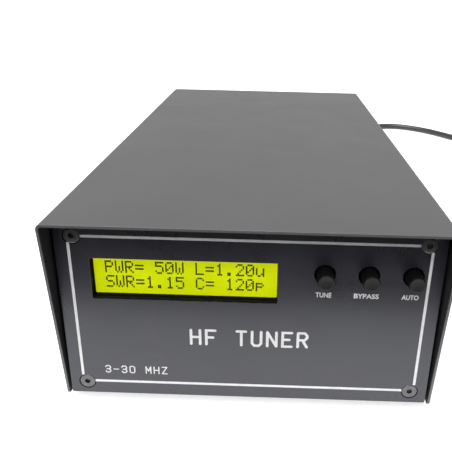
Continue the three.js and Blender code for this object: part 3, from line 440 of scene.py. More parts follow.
# Painted shade: a darker, duller copy of the button plastic for the caps' sides, standing in for the shade
# under the cover's front overhang.
BUTTON_SIDE_SHADE = finish("button_side_shade", grey(0.002), grey(0.003), (0.6, 0.7), patch=260, grain=3000,
                     relief=0.008, Specular_IOR_Level=0.08)
SWITCH = finish("switch_plastic", grey(0.016), grey(0.024), (0.5, 0.62), patch=260, grain=3500)
NICKEL = finish("nickel", (0.58, 0.56, 0.52, 1), (0.68, 0.66, 0.62, 1), (0.16, 0.3), 1.0, patch=160,
                grain=1200, relief=0.003, wear=grey(0.8))
PTFE = finish("ptfe", (0.74, 0.74, 0.7, 1), (0.84, 0.84, 0.81, 1), (0.35, 0.5), patch=300, grain=2200,
              Subsurface_Weight=0.15, Subsurface_Scale=0.001)
CONTACT = finish("contact_brass", (0.66, 0.46, 0.16, 1), (0.8, 0.58, 0.24, 1), (0.18, 0.3), 1.0,
                 patch=400, grain=2600, relief=0.003)
BRASS = finish("terminal_brass", (0.5, 0.36, 0.13, 1), (0.66, 0.5, 0.22, 1), (0.22, 0.4), 1.0, patch=220,
               grain=1600, relief=0.005, wear=(0.85, 0.7, 0.4, 1))
COPPER = finish("copper_wire", (0.5, 0.2, 0.09, 1), (0.7, 0.33, 0.17, 1), (0.2, 0.34), 1.0, patch=200,
                grain=1500, relief=0.003)
SOLDER = finish("solder", grey(0.5), grey(0.62), (0.2, 0.36), 1.0, patch=500, grain=2000, slot="nickel")
FERRITE = finish("dark_ferrite", grey(0.03), grey(0.045), (0.6, 0.8), patch=300, grain=2600, relief=0.03)
IRON = finish("iron_powder", (0.24, 0.02, 0.014, 1), (0.34, 0.035, 0.024, 1), (0.3, 0.45), patch=120,
              grain=1800, relief=0.02)
RELAY = finish("relay_case", (0.02, 0.024, 0.03, 1), (0.03, 0.034, 0.042, 1), (0.4, 0.55), patch=140,
               grain=2200, relief=0.01)
BOOT_RUBBER = finish("boot_rubber", grey(0.014), grey(0.022), (0.6, 0.75), patch=220, grain=2400,
                     relief=0.02)
JACKET = finish("lead_jacket", grey(0.02), grey(0.028), (0.3, 0.42), patch=70, grain=1300, relief=0.012,
                Specular_IOR_Level=0.6)
PLUG = finish("plug_moulding", grey(0.014), grey(0.02), (0.4, 0.52), patch=180, grain=2800, relief=0.02)

# ---------------------------------------------------------------- supply lead
LEAD_RADIUS = 3
LEAD_X, LEAD_Z = 45, 22  # where it leaves the rear wall
LEAD_ROUTE = [
    (45, 28.6, 22), (45, 41, 21.3), (45.2, 56, 18.2), (46, 72, 12.6), (47.5, 89, 7.2), (50, 106, 4.1),
    (54, 123, 3.2), (60, 141, 3.2), (69, 160, 3.2), (81, 177, 3.2), (97, 192.5, 3.2), (115, 205, 3.2),
    (133.4, 211.9, 3.2), (144.5, 213.9, 3.2), (156, 212.6, 3.2), (166.7, 207.7, 3.2), (177, 200.5, 3.2),
    (186.3, 191.8, 3.2), (194.4, 182.2, 3.2), (201.5, 172.5, 3.2), (207, 166, 3.2), (212.3, 160.7, 3.2),
    (217, 156.5, 3.2), (227, 149, 3.2),
]
TAIL_ROUTE = [(296.2, 160.5, 3.7), (299, 169, 3.2), (300, 176, 3.8), (300, 183.5, 5.2), (300, 192.2, 5.7)]
COIL_X, COIL_Y = 254, 179
COIL_TUCK = -0.56  # brings the whole lead to its real length
LEVEL = 3.2  # height of the lowest turns' centre line
INNER_TURN, OUTER_TURN = 33, 39
# Angles along the coil, all in degrees
COIL_START, COIL_END, COIL_STEP = 245, 2120, 15
STEPS_IN = ((550, 605), (910, 965))
CLIMB = (1190, 1275)
STEPS_OUT = ((1545, 1610), (1905, 1970))
DROP = (2035, 2100)
SADDLE = 60  # how far round a lower turn an upper one lies
CROSSINGS = ((1295, 30), (1577, 30), (1655, 30), (1937, 30), (2017, 25))
CROSSING_RISE = 0.85


def ease(start, end, value):
    t = min(max((value - start) / (end - start), 0), 1)
    return t * t * (3 - 2 * t)


def coil_point(angle):
    """Three turns on the table, two on top of them, and out over the outer turn down to the table."""
    pitch = 2 * LEAD_RADIUS
    radius = OUTER_TURN - sum(pitch * ease(*step, angle) for step in STEPS_IN)
    height = LEVEL
    climb = math.radians(SADDLE) * ease(*CLIMB, angle)
    drop = math.radians(SADDLE) * (1 - ease(*DROP, angle))
    if climb > 0:
        radius = INNER_TURN - pitch * math.cos(climb)
        radius += sum(pitch * ease(*step, angle) for step in STEPS_OUT)
        height = LEVEL + pitch * math.sin(climb)
        for crossing, reach in CROSSINGS:
            height += CROSSING_RISE * math.exp(-(((angle - crossing) / reach) ** 2))
    if angle > DROP[0]:
        radius = OUTER_TURN + pitch * math.cos(drop)
        height = LEVEL + pitch * math.sin(drop)
    turn = math.radians(angle)
    reach = radius + COIL_TUCK
    return Vector((COIL_X + reach * math.cos(turn), REAR + COIL_Y + reach * math.sin(turn), height))


def behind_rear(points):
    return [Vector((x, REAR + y, z)) for x, y, z in points]


def supply_lead():
    turns = [coil_point(angle) for angle in range(COIL_START, COIL_END + 1, COIL_STEP)]
    path = smooth_path([*behind_rear(LEAD_ROUTE), *turns, *behind_rear(TAIL_ROUTE)], 5)
    bm = sweep(bmesh.new(), path, circle(0, 0, LEAD_RADIUS, 16))
    made = piece("supply_lead", bm, JACKET, ("power_lead", "lead_coil", "lead_tail"), weighted=False)
    return made, [point * MM for point in path]


def lead_boot():
    """A lip inside the wall, one outside it, and a long ribbed taper."""
    inner, tip = (corner.y for corner in span("lead_boot"))
    wall = REAR - REAR_SHEET
    start = REAR + GAP
    profile = [(3.1, inner), (7.1, inner), (7.5, inner + 0.4), (7.5, wall - 0.7), (7.1, wall - 0.3)]
    profile += [(5.2, wall - 0.3), (5.2, start), (7.1, start), (7.5, start + 0.4), (7.5, start + 2.1)]
    profile += [(7.1, start + 2.5), (5.9, start + 2.7)]
    ribs = 8
    first = start + 4
    step = (tip - 2 - first) / ribs
    for i in range(ribs):
        y = first + i * step
        radius = 5.6 - 1.4 * i / ribs
        waist = radius - 0.75
        profile += [(radius, y), (radius, y + step * 0.52)]
        profile += [(waist, y + step * 0.6), (waist, y + step * 0.92)]
    profile += [(4.1, tip - 1.9), (4.1, tip - 0.4), (3.8, tip), (3.1, tip)]
    bm = collar(bmesh.new(), profile, at(LEAD_X, 0, LEAD_Z, BACK), 36)
    return piece("boot_relief", bm, BOOT_RUBBER, "lead_boot")


def lead_plug():
    low, high = span("lead_plug")
    x, _, z = middle("lead_plug")
    turn = at(x, 0, z, BACK)
    start, end, radius = low.y, high.y, (high.x - low.x) / 2
    profile = [(0, start + 3), (3.05, start + 3), (3.05, start), (3.5, start), (3.8, start + 0.3)]
    for i in range(5):
        y = start + 1.6 + i * 2.3
        r = 3.9 + 0.14 * i
        profile += [(r, y), (r - 0.5, y + 0.25), (r - 0.5, y + 0.95), (r + 0.1, y + 1.2)]
    profile += [(radius - 0.8, start + 14), (radius, start + 15.2)]
    for i in range(9):
        y = start + 17 + i * 1.7
        profile += [(radius, y), (radius - 0.35, y + 0.3), (radius - 0.35, y + 0.7), (radius, y + 1.0)]
    profile += [(radius, end - 0.9), (radius - 0.3, end - 0.25), (radius - 0.9, end), (0, end)]
    body = piece("plug_body", turned(bmesh.new(), profile, turn, 48), PLUG, "lead_plug")
    low, high = span("lead_plug_barrel")
    tip = high.y
    profile = [(0, low.y - 0.3), (2.75, low.y - 0.3), (2.75, tip - 0.3), (2.5, tip), (2.2, tip)]
    profile += [(2.1, tip - 0.3), (1.1, tip - 0.3), (1.05, tip - 0.6), (1.05, tip - 7.5), (0, tip - 7.5)]
    barrel = piece("plug_barrel", turned(bmesh.new(), profile, turn, 36), NICKEL, "lead_plug_barrel")
    bm = bmesh.new()
    ring = [(1.15, tip - 0.28), (2.05, tip - 0.28), (2.05, tip - 0.05), (1.15, tip - 0.05)]
    collar(bm, ring, turn, 32)
    tip_ring = piece("plug_tip_insulator", bm, SWITCH)
    return body, barrel, tip_ring


def coil_tie():
    """A soft strap round the bundle of turns, on the coil's far side."""
    centre = REAR + COIL_Y
    bm = bmesh.new()
    inner = rect(22.9 + centre, 0.17, 42.3 + centre, 12.1, 3.6, 6)
    outer = [Vector((p.x, max(p.y, 0.03))) for p in inset(inner, -0.7)]
    ridge = [Vector((p.x, max(p.y, 0.02))) for p in inset(inner, -0.85)]
    loops = [(inner, -3), (outer, -3), (ridge, -2.6), (ridge, 2.6), (outer, 3), (inner, 3)]
    sleeve(bm, loops, at(COIL_X, 0, 0, RIGHT))
    return piece("coil_strap", bm, BOOT_RUBBER)


lead, lead_path = supply_lead()
lead_parts = [lead_boot(), *lead_plug(), coil_tie()]


# ---------------------------------------------------------------- cover
COVER_SHEET = 1.2
COVER_BEND = 2
COVER_ROUNDING = 0.22
VISOR_LEAN = 8  # how far the front edge leans back down a wing


def cover():
    """One folded sheet: two wings, two bends and the top. Its front edge leans back down the wings."""
    bend = HALF - COVER_BEND
    rise = TOP - COVER_BEND
    inner = COVER_BEND - COVER_SHEET
    wing = HALF - COVER_SHEET
    section = [Vector((HALF, BASE))]
    right = turning(0, math.pi / 2, 10)
    left = turning(math.pi / 2, math.pi, 10)
    section += arc(bend, rise, COVER_BEND, right) + arc(-bend, rise, COVER_BEND, left)
    section += [Vector((-HALF, BASE)), Vector((-wing, BASE))]
    section += arc(-bend, rise, inner, reversed(left)) + arc(bend, rise, inner, reversed(right))
    section += [Vector((wing, BASE))]
    front, rear = -cover_low.y, -cover_high.y
    slope = VISOR_LEAN / (rise - BASE + 1)

    def lean(point, height):
        ahead = (height - rear) / (front - rear)
        return -slope * max(rise - point.y, 0) if ahead > 0.5 else 0

    bm = plate(bmesh.new(), [section], rear, front, FRONT, COVER_ROUNDING, 3, lean)
    made = piece("cover_sheet", bm, COVER_PAINT, "top_cover")
    # Painted shade: the underside of the top and the inner faces of the wings get the darker paint that
    # stands in for the shade inside the case.
    repaint(made, COVER_INSIDE_SHADE, lambda p, n: n.z < -0.2 and p.z > BASE + 5 or n.x * p.x < -0.2)


cover()


# ---------------------------------------------------------------- front panel
WINDOW = (-55.9, BASE + 43.25, 10.1, BASE + 59.35)
BUTTON_XS = (26.4, 41.8, 57.2)
BUTTON_Z = BASE + 55.6
CAP_HOLE, SCREW_HOLE = 3.8, 3.15
INK = 0.03  # thickness of the print
STROKE_STEP = 0.004  # keeps the tops of crossing strokes apart
PRINT_X = 62.65
PRINT_LOW = BASE + 6.95
PRINT_HIGH = BASE + 67.87
LINE_WIDTH = 1.0
LINE_STOP, TOP_STOP = 3.1, 2.4  # from a screw's middle to the end of a line
screw_places = [middle(f"panel_screw_{index}")[::2] for index in range(1, 5)]


def front_panel():
    outline = rect(panel_low.x, panel_low.z, panel_high.x, panel_high.z, 0.6)
    holes = [rect(*WINDOW, 0.35)]
    holes += [circle(x, BUTTON_Z, CAP_HOLE, 48) for x in BUTTON_XS]
    holes += [circle(x, z, SCREW_HOLE, 40) for x, z in screw_places]
    made = upright("panel_plate", "front_panel", [outline, *holes], PANEL_BLACK, 0.15)
    outer = panel_high.x - 1.6  # faces within this belong to the holes and not to the rim

    def in_a_hole(place, normal):
        return abs(normal.y) < 0.3 and abs(place.x) < outer and BASE + 2 < place.z < TOP - 3

    # Painted shade: the walls of the window, button and screw holes get the darker, duller black that stands
    # in for their shade.
    repaint(made, HOLE_WALL_SHADE, in_a_hole)


def ink_lines():
    """Four fine white lines that stop short of the screws."""
    half = screw_places[1][0] - LINE_STOP
    low, high = screw_places[0][1] + LINE_STOP, screw_places[2][1] - TOP_STOP
    lines = [around(0, z, 2 * half, LINE_WIDTH, 0.2, 3) for z in (PRINT_LOW, PRINT_HIGH)]
    lines += [around(x, (low + high) / 2, LINE_WIDTH, high - low, 0.2, 3) for x in (-PRINT_X, PRINT_X)]
    bm = bmesh.new()
    for line in lines:
        plate(bm, [line], -FACE, INK - FACE, FRONT)
    piece("panel_lines", bm, WHITE_INK)


# Strokes of plain engraved capitals and figures on a grid four wide and six high.
STROKES = {
    "H": ["0006", "4046", "0343"], "F": ["000646", "0333"], "T": ["0646", "2026"],
    "U": ["060110304146"], "N": ["0006", "4046", "0640"], "E": ["46060040", "0333"],
    "R": ["0006", "063645443303", "2340"], "M": ["0006", "4640", "0622", "4622"],
    "Z": ["0646", "0040", "4600"],
    "-": ["0343"], "3": ["051636454433", "1333", "3342413010", "1001"],
    "0": ["10304145", "453616", "16050110"], "1": ["1526", "2620"],
    "5": ["460604", "0434", "3443413010", "1001"],
}


def ribbon_outline(points, width):
    """A line of even width with round ends as one closed loop."""
    half = width / 2
    left, right = [], []
    for i, point in enumerate(points):
        before = (point - points[i - 1]).normalized() if i else None
        after = (points[i + 1] - point).normalized() if i + 1 < len(points) else None
        along = (before or after) + (after or before)
        along.normalize()
        side = Vector((-along.y, along.x))
        reach = side.dot(Vector((-(after or before).y, (after or before).x)))
        left.append(point + side * (half / max(reach, 0.35)))
        right.append(point - side * (half / max(reach, 0.35)))

    def cap(centre, along):
        start = math.atan2(along.y, along.x)
        return [centre + half * Vector((math.cos(start + a), math.sin(start + a)))
                for a in turning(math.pi / 2, -math.pi / 2, 6)[1:-1]]

    last = (points[-1] - points[-2]).normalized()
    first = (points[0] - points[1]).normalized()
    return left + cap(points[-1], last) + right[::-1] + cap(points[0], first)


def engraved(bm, words, left, bottom, height, pitch, wide, line):
    """Words in stroke letters on the panel's face; their centre lines keep half a line from the edges."""
    tall = (height - line) / 6
    across = (wide - line) / 4
    for i, letter in enumerate(words):
        for j, stroke in enumerate(STROKES.get(letter, [])):
            numbers = [int(c) for c in stroke]
            points = [
                Vector((left + i * pitch + line / 2 + x * across, bottom + line / 2 + y * tall))
                for x, y in zip(numbers[::2], numbers[1::2])
            ]
            top = INK - STROKE_STEP * j
            plate(bm, [ribbon_outline(points, line)], -FACE, top - FACE, FRONT)


def text(bm, words, height, width, centre, bottom, turn, level, bold=0.0):
    """Words in the plain built-in face, flat on a surface: centre and bottom are in the local plane."""
    curve = bpy.data.curves.new("words", "FONT")
    curve.body = words
    curve.align_x = "CENTER"
    curve.resolution_u = 3
    curve.offset = bold
    curve.extrude = 0.5
    holder = bpy.data.objects.new("words", curve)
    scene.collection.objects.link(holder)
    bpy.context.view_layer.update()
    mesh = holder.evaluated_get(bpy.context.evaluated_depsgraph_get()).to_mesh()
    low = min(v.co.y for v in mesh.vertices)
    high = max(v.co.y for v in mesh.vertices)
    scale = height / (high - low)
    sides = [v.co.x for v in mesh.vertices]
    wide = width / (max(sides) - min(sides))
    centre -= (max(sides) + min(sides)) / 2 * wide
    place = Matrix.Translation((centre, bottom - low * scale, level + INK / 2))
    size = Matrix.Diagonal((wide, scale, INK, 1))
    shape = bmesh.new()
    shape.from_mesh(mesh)
    shape.transform(turn @ place @ size)
    spare = bpy.data.meshes.new("words")
    shape.to_mesh(spare)
    shape.free()
    bm.from_mesh(spare)
    bpy.data.meshes.remove(spare)
    holder.evaluated_get(bpy.context.evaluated_depsgraph_get()).to_mesh_clear()
    bpy.data.objects.remove(holder)
    bpy.data.curves.remove(curve)


def panel_words():
    bm = bmesh.new()
    engraved(bm, "HF TUNER", -21.6, BASE + 24.6, 7, 5.6, 4.3, 1.0)
    engraved(bm, "3-30 MHZ", -54, BASE + 10.8, 3.4, 3.05, 2.2, 0.42)
    piece("panel_title", bm, WHITE_INK, sharp=20)
    bm = bmesh.new()
    for words, x, width in (("TUNE", 26.3, 5.6), ("BYPASS", 41.4, 8.8), ("AUTO", 56.8, 6.0)):
        text(bm, words, 2.0, width, x, BASE + 46.5, FRONT, -FACE, bold=0.03)
    piece("button_labels", bm, WHITE_INK, sharp=20)


front_panel()
ink_lines()
panel_words()


# ---------------------------------------------------------------- screws and feet
def hexagon(flats):
    return circle(0, 0, flats / math.sqrt(3), 6, math.pi / 6)


def cross(length, width):
    a, b = length / 2, width / 2
    points = ((a, -b), (a, b), (b, b), (b, a), (-b, a), (-b, b), (-a, b), (-a, -b), (-b, -b), (-b, -a),
              (b, -a), (b, -b))
    return [Vector(p) for p in points]


M3 = 1.5  # radius of the shank
M3_DEPTH, M3_PITCH = 0.22, 0.5
HEX_DRIVE, DRIVE_DEPTH = 2, 1.1


def thread(radius, depth, start, end, pitch):
    """The zigzag outline of a thread from start to end."""
    count = max(2, round(abs(end - start) / pitch))
    step = (end - start) / count
    profile = []
    for i in range(count):
        h = start + i * step
        profile += [(radius - depth, h), (radius, h + step * 0.38), (radius, h + step * 0.6)]
    return profile + [(radius - depth, end)]


def countersunk(name, x, z, stands_for):
    """Head flush with the panel, hexagonal drive, threaded shank. Heights are towards the viewer."""
    top = -span(stands_for)[0].y
    profile = [(2.62, top), (2.8, top - 0.06), (2.9, top - 0.2), (2.88, top - 0.32), (M3, top - 1.75)]
    profile += thread(M3, M3_DEPTH, top - 2, top - 7.6, M3_PITCH) + [(0.9, top - 8), (0, top - 8)]
    bm = turned(bmesh.new(), profile, at(x, 0, z, FRONT), 36, hexagon(HEX_DRIVE), DRIVE_DEPTH)
    piece(name, bm, SCREW_STEEL, stands_for)


def button_head(name, stands_for, side):
    """A domed head that stands out of a wing, and its threaded shank."""
    low, high = span(stands_for)
    top = max(abs(low.x), abs(high.x))
    _, y, z = middle(stands_for)
    seat = top - 1.6
    dome = 1.3
    profile = [(M3, top)] + [
        (M3 + dome * math.sin(a), seat + 0.3 + dome * math.cos(a)) for a in turning(0.25, math.pi / 2, 7)
    ]
    profile += [(2.7, seat), (M3, seat)] + thread(M3, M3_DEPTH, seat - 0.4, seat - 5.6, M3_PITCH)
    profile += [(0.9, seat - 6.3), (0, seat - 6.3)]
    bm = bmesh.new()
    turned(bm, profile, at(0, y, z, RIGHT if side > 0 else LEFT), 36, hexagon(HEX_DRIVE), DRIVE_DEPTH)
    piece(name, bm, SCREW_STEEL, stands_for)


def pan_head(name, turn, seat, length, radius=2.8, tall=2.0, shank=M3, stands_for=()):
    """A domed head with a cross drive that stands on seat, and its threaded shank."""
    top = seat + tall
    profile = [(radius * 0.62, top)] + [
        (radius * (0.62 + 0.38 * math.sin(a)), seat + tall * 0.45 + tall * 0.55 * math.cos(a))
        for a in turning(0.35, math.pi / 2, 6)
    ]
    profile += [(radius, seat + 0.1), (radius - 0.1, seat), (shank, seat)]
    profile += thread(shank, 0.2, seat - 0.3, seat - length + 0.4, M3_PITCH)
    profile += [(shank * 0.6, seat - length), (0, seat - length)]
    bm = turned(bmesh.new(), profile, turn, 28, cross(radius * 1.05, 0.55), tall * 0.5)
    piece(name, bm, SCREW_STEEL, stands_for)


for index, (x, z) in enumerate(screw_places, 1):
    countersunk(f"panel_fastener_{index}", x, z, f"panel_screw_{index}")
for index in range(1, 5):
    button_head(f"cover_fastener_{index}", f"cover_screw_{index}", -1 if index % 2 else 1)
    screw = f"board_screw_{index}"
    x, y, _ = middle(screw)
    pan_head(f"board_fastener_{index}", at(x, y, 0), span(screw)[1].z - 2, 6, stands_for=screw)


def foot(index):
    low, high = span(f"foot_{index}")
    x, y, _ = middle(f"foot_{index}")
    radius = (high.x - low.x) / 2
    tall = high.z
    profile = [(1.8, 2.2), (3.2, 2.2), (3.4, 2.0), (3.4, 0.3), (3.7, 0), (radius - 1.1, 0)]
    profile += [(radius - 0.75, 0.12), (radius - 0.6, 0.4), (radius - 0.05, tall - 0.6)]
    profile += [(radius, tall - 0.3), (radius - 0.2, tall), (1.8, tall)]
    piece(f"rubber_foot_{index}", collar(bmesh.new(), profile, at(x, y, 0), 48), RUBBER, f"foot_{index}")
    flip = Matrix.Rotation(math.pi, 4, "X")
    pan_head(f"foot_screw_{index}", at(x, y, 0) @ flip, -2.15, 6, 2.7, 1.5)


for index in range(1, 5):
    foot(index)


# ---------------------------------------------------------------- display
VIEW_X, VIEW_Z = -22.9, BASE + 51.2
VIEW_WIDE, VIEW_TALL = 65.5, 14.7
CELL_PITCH, LINE_PITCH = 3.61, 5.94
CELL_LEFT, CELL_TOP = -52.0, BASE + 56.4
DOT_X, DOT_Z = 0.61, 0.7
DOT_SIZE = (0.57, 0.66)
DOT_COLUMNS = 5
PANE, DOT_DEPTH, DOT_THICKNESS = 0.8, 0.95, 0.06
PIN_PITCH = 2.54
READOUT = ("PWR= 50W L=1.20u", "SWR=1.15 C= 120p")
DOTS = {  # the rows of a character, top to bottom, each as the number that its dots make
    "P": (30, 17, 17, 30, 16, 16, 16), "W": (17, 17, 17, 21, 21, 21, 10), "R": (30, 17, 17, 30, 20, 18, 17),
    "S": (15, 16, 16, 14, 1, 1, 30), "L": (16, 16, 16, 16, 16, 16, 31), "C": (14, 17, 16, 16, 16, 17, 14),
    "=": (0, 0, 31, 0, 31, 0, 0), ".": (0, 0, 0, 0, 0, 12, 12), "u": (0, 0, 17, 17, 17, 19, 13),
    "p": (0, 0, 30, 17, 30, 16, 16), "0": (14, 17, 19, 21, 25, 17, 14), "1": (4, 12, 4, 4, 4, 4, 14),
    "2": (14, 17, 1, 2, 4, 8, 31), "5": (31, 16, 30, 1, 1, 17, 14),
}


def display():
    low, high = span("display_bezel")
    front, back = -low.y, -high.y
    wide, tall = high.x - low.x, high.z - low.z
    window = around(VIEW_X, VIEW_Z, VIEW_WIDE, VIEW_TALL, 0.4, 4)

    def frame_loop(shrink, corner):
        return around(VIEW_X, VIEW_Z, wide - 2 * shrink, tall - 2 * shrink, corner, 4)

    bm = bmesh.new()
    outside, inside = frame_loop(0, 0.9), frame_loop(0.5, 0.5)
    loops = [(inset(window, -0.12), front - 0.12), (inset(window, -0.3), front)]
    loops += [(frame_loop(0.7, 0.6), front), (frame_loop(0.2, 0.8), front - 0.2)]
    loops += [(outside, front - 0.7), (outside, back)]
    loops += [(inside, back), (inside, front - 0.5), (window, front - 0.5)]
    sleeve(bm, loops, FRONT)
    piece("bezel_frame", bm, BLACK_STEEL, "display_bezel")

    low, high = span("display_glass")
    pane = rect(low.x, low.z, high.x, high.z, 0.3, 3)
    bm = plate(bmesh.new(), [pane], -low.y - PANE, -low.y, FRONT, 0.08)
    piece("display_pane", bm, GLASS, "display_glass")
    level = -low.y - DOT_DEPTH
    bm = bmesh.new()
    for row, line in enumerate(READOUT):
        for column, letter in enumerate(line):
            for y, bits in enumerate(DOTS.get(letter, ())):
                for x in range(DOT_COLUMNS):
                    if bits >> (DOT_COLUMNS - 1 - x) & 1:
                        left = CELL_LEFT + column * CELL_PITCH + x * DOT_X
                        top = CELL_TOP - row * LINE_PITCH - y * DOT_Z
                        cell = rect(left, top - DOT_SIZE[1], left + DOT_SIZE[0], top)
                        plate(bm, [cell], level, level + DOT_THICKNESS, FRONT)
    piece("display_dots", bm, LIQUID, sharp=20)
    piece("display_diffuser", plate(bmesh.new(), [pane], -high.y, level - 0.02, FRONT, 0.08), BACKLIGHT)
    low, high = span("display_backlight")
    guide = rect(low.x, low.z, high.x, high.z, 0.5, 3)
    upright("light_guide", "display_backlight", [guide], BACKLIGHT, 0.25)


def circuit(name, node, corner, holes):
    """A circuit board that faces the front, with holes for its screws."""
    low, high = span(node)
    loops = [rect(low.x, low.z, high.x, high.z, corner), *[circle(x, z, 1.5, 28) for x, z in holes]]
    upright(name, node, loops, BOARD, 0.1, 1)
    return high.y


def board_screws(name, back, holes):
    """Small screws into a board from behind."""
    for index, (x, z) in enumerate(holes, 1):
        pan_head(f"{name}_{index}", at(x, back, z, BACK), 0.02, 5, 2.4, 1.7, 1.25)


def display_board():
    holes = [(VIEW_X + sx * 37.5, VIEW_Z + sz * 15.5) for sx in (-1, 1) for sz in (-1, 1)]
    back = circuit("display_circuit", "display_board", 1.2, holes)
    bm = bmesh.new()
    joint = [(0, -back - 0.9), (0.3, -back - 0.7), (0.8, -back), (0, -back)]
    for i in range(16):
        turned(bm, joint, at(VIEW_X - 20.3 + PIN_PITCH * i, 0, VIEW_Z + 15.9, FRONT), 14)
    piece("display_joints", bm, SOLDER)
    bm = bmesh.new()
    for x in (-9.5, 9.5):
        blob = [(0, -back - 1.4)] + [
            (4.6 * math.sin(a), -back - 1.4 * math.cos(a)) for a in turning(0.2, math.pi / 2, 6)
        ] + [(0, -back)]
        turned(bm, blob, at(VIEW_X + x, 0, VIEW_Z, FRONT), 36)
    piece("display_driver_seals", bm, RELAY)
    board_screws("display_screw", back, holes)


display()
display_board()


def ribbon():
    """A flat cable of ridged strands from the display board down to the main board."""
    low, high = span("ribbon_cable")
    half = (high.x - low.x) / 2
    centre = middle("ribbon_cable")[0]
    start, top, bottom = low.y, VIEW_Z + 12.5, low.z + 0.5
    board = span("main_board")[0].y
    route = [(start, top), (start + 2, top), (start + 6, top - 4), (start + 9, (top + bottom) / 2 + 4)]
    route += [(board - 2, bottom + 8), (board + 3, bottom + 1), (board + 12, bottom)]
    path = smooth_path([Vector((centre, y, z)) for y, z in route], 6)
    strands = 20
    pitch = 2 * half / strands
    top_side, bottom_side = [], []
    for i in range(strands):
        for part, rise in ((0.02, 0.22), (0.25, 0.42), (0.75, 0.42)):
            x = -half + (i + part) * pitch
            top_side.append(Vector((x, rise)))
            bottom_side.append(Vector((x, -rise)))
    top_side.append(Vector((half, 0.22)))
    bottom_side.append(Vector((half, -0.22)))
    bm = sweep(bmesh.new(), path, bottom_side + top_side[::-1], Vector((0, 1, 0)))
    piece("ribbon_strands", bm, RIBBON, "ribbon_cable", sharp=50, weighted=False)
    bm = bmesh.new()
    y = board + 15.2
    plate(bm, [around(centre, y, 30, 6.4, 0.6, 3)], BOARD_TOP, 20.6, UP, 0.35)
    plate(bm, [around(centre, y, 22, 1.6, 0.3, 2)], 20.5, 21.4, UP, 0.2)
    piece("ribbon_header", bm, SWITCH)


ribbon()


# ---------------------------------------------------------------- push buttons
STEM_HOLE = 3.2


def button(name, x):
    body = f"{name}_button"
    low, high = span(f"{name}_cap")
    z, radius = middle(f"{name}_cap")[2], (high.x - low.x) / 2
    front, back = low.y, high.y
    bm = bmesh.new()
    round_off = 0.55
    socket_loop = around(0, 0, STEM_HOLE, STEM_HOLE, 0.2, 2)
    profile = [(radius - 0.35, back), (radius - 0.1, back - 0.1), (radius, back - 0.35)]
    profile += [(radius, front + round_off)]
    profile += [(radius - round_off + round_off * math.cos(a), front + round_off - round_off * math.sin(a))
                for a in turning(0, math.pi / 2, 6)[1:]]
    profile += [(radius - 0.75, front + 0.03), (radius - 1.3, front + 0.12), (0, front + 0.16)]
    turned(bm, profile, at(x, 0, z, BACK), 56, socket_loop, 4.6)
    made = piece(f"{name}_key", bm, BUTTON, f"{name}_cap", body)
    # Painted shade: the caps' sides and most of their rounded rims get the darker, duller plastic that
    # stands in for the shade under the cover's front overhang.
    repaint(made, BUTTON_SIDE_SHADE, lambda p, n: abs(n.y) < 0.8)
    upright(f"{name}_stem", f"{name}_plunger", [around(x, z, 2.6, 2.6, 0.3, 3)], SWITCH, 0.25, body=body)
    low, high = span(f"{name}_switch")
    bm = bmesh.new()
    bore = around(x, z, STEM_HOLE, STEM_HOLE, 0.2, 2)
    plate(bm, [around(x, z, 8.5, 8.5, 0.5, 3), bore], -high.y, -low.y - 1.1, FRONT, 0.2)
    plate(bm, [circle(x, z, 3.4, 36), bore], -low.y - 1.15, -low.y, FRONT, 0.15)
    piece(f"{name}_housing", bm, SWITCH, f"{name}_switch")
    bm = bmesh.new()
    for dx in (-2.5, 0, 2.5):
        for dz in (-2.5, 2.5):
            plate(bm, [around(x + dx, z + dz, 0.8, 0.35)], -high.y - 4.2, -high.y - 0.01, FRONT, 0.06, 1)
    piece(f"{name}_pins", bm, SOLDER)


for name, x in zip(("tune", "bypass", "auto"), BUTTON_XS):
    button(name, x)


def button_board():
    places = [((BUTTON_XS[i] + BUTTON_XS[i + 1]) / 2, BUTTON_Z) for i in (0, 1)]
    board_screws("button_board_screw", circuit("button_circuit", "button_board", 1, places), places)


button_board()


# ---------------------------------------------------------------- coaxial sockets
FLANGE_WIDTH = 25.4
FLANGE_HOLE = 9.1  # from the socket's axis, across and up
CONTACT_OUTER, CONTACT_INNER, CONTACT_SLOT = 2.8, 2.0, 0.12


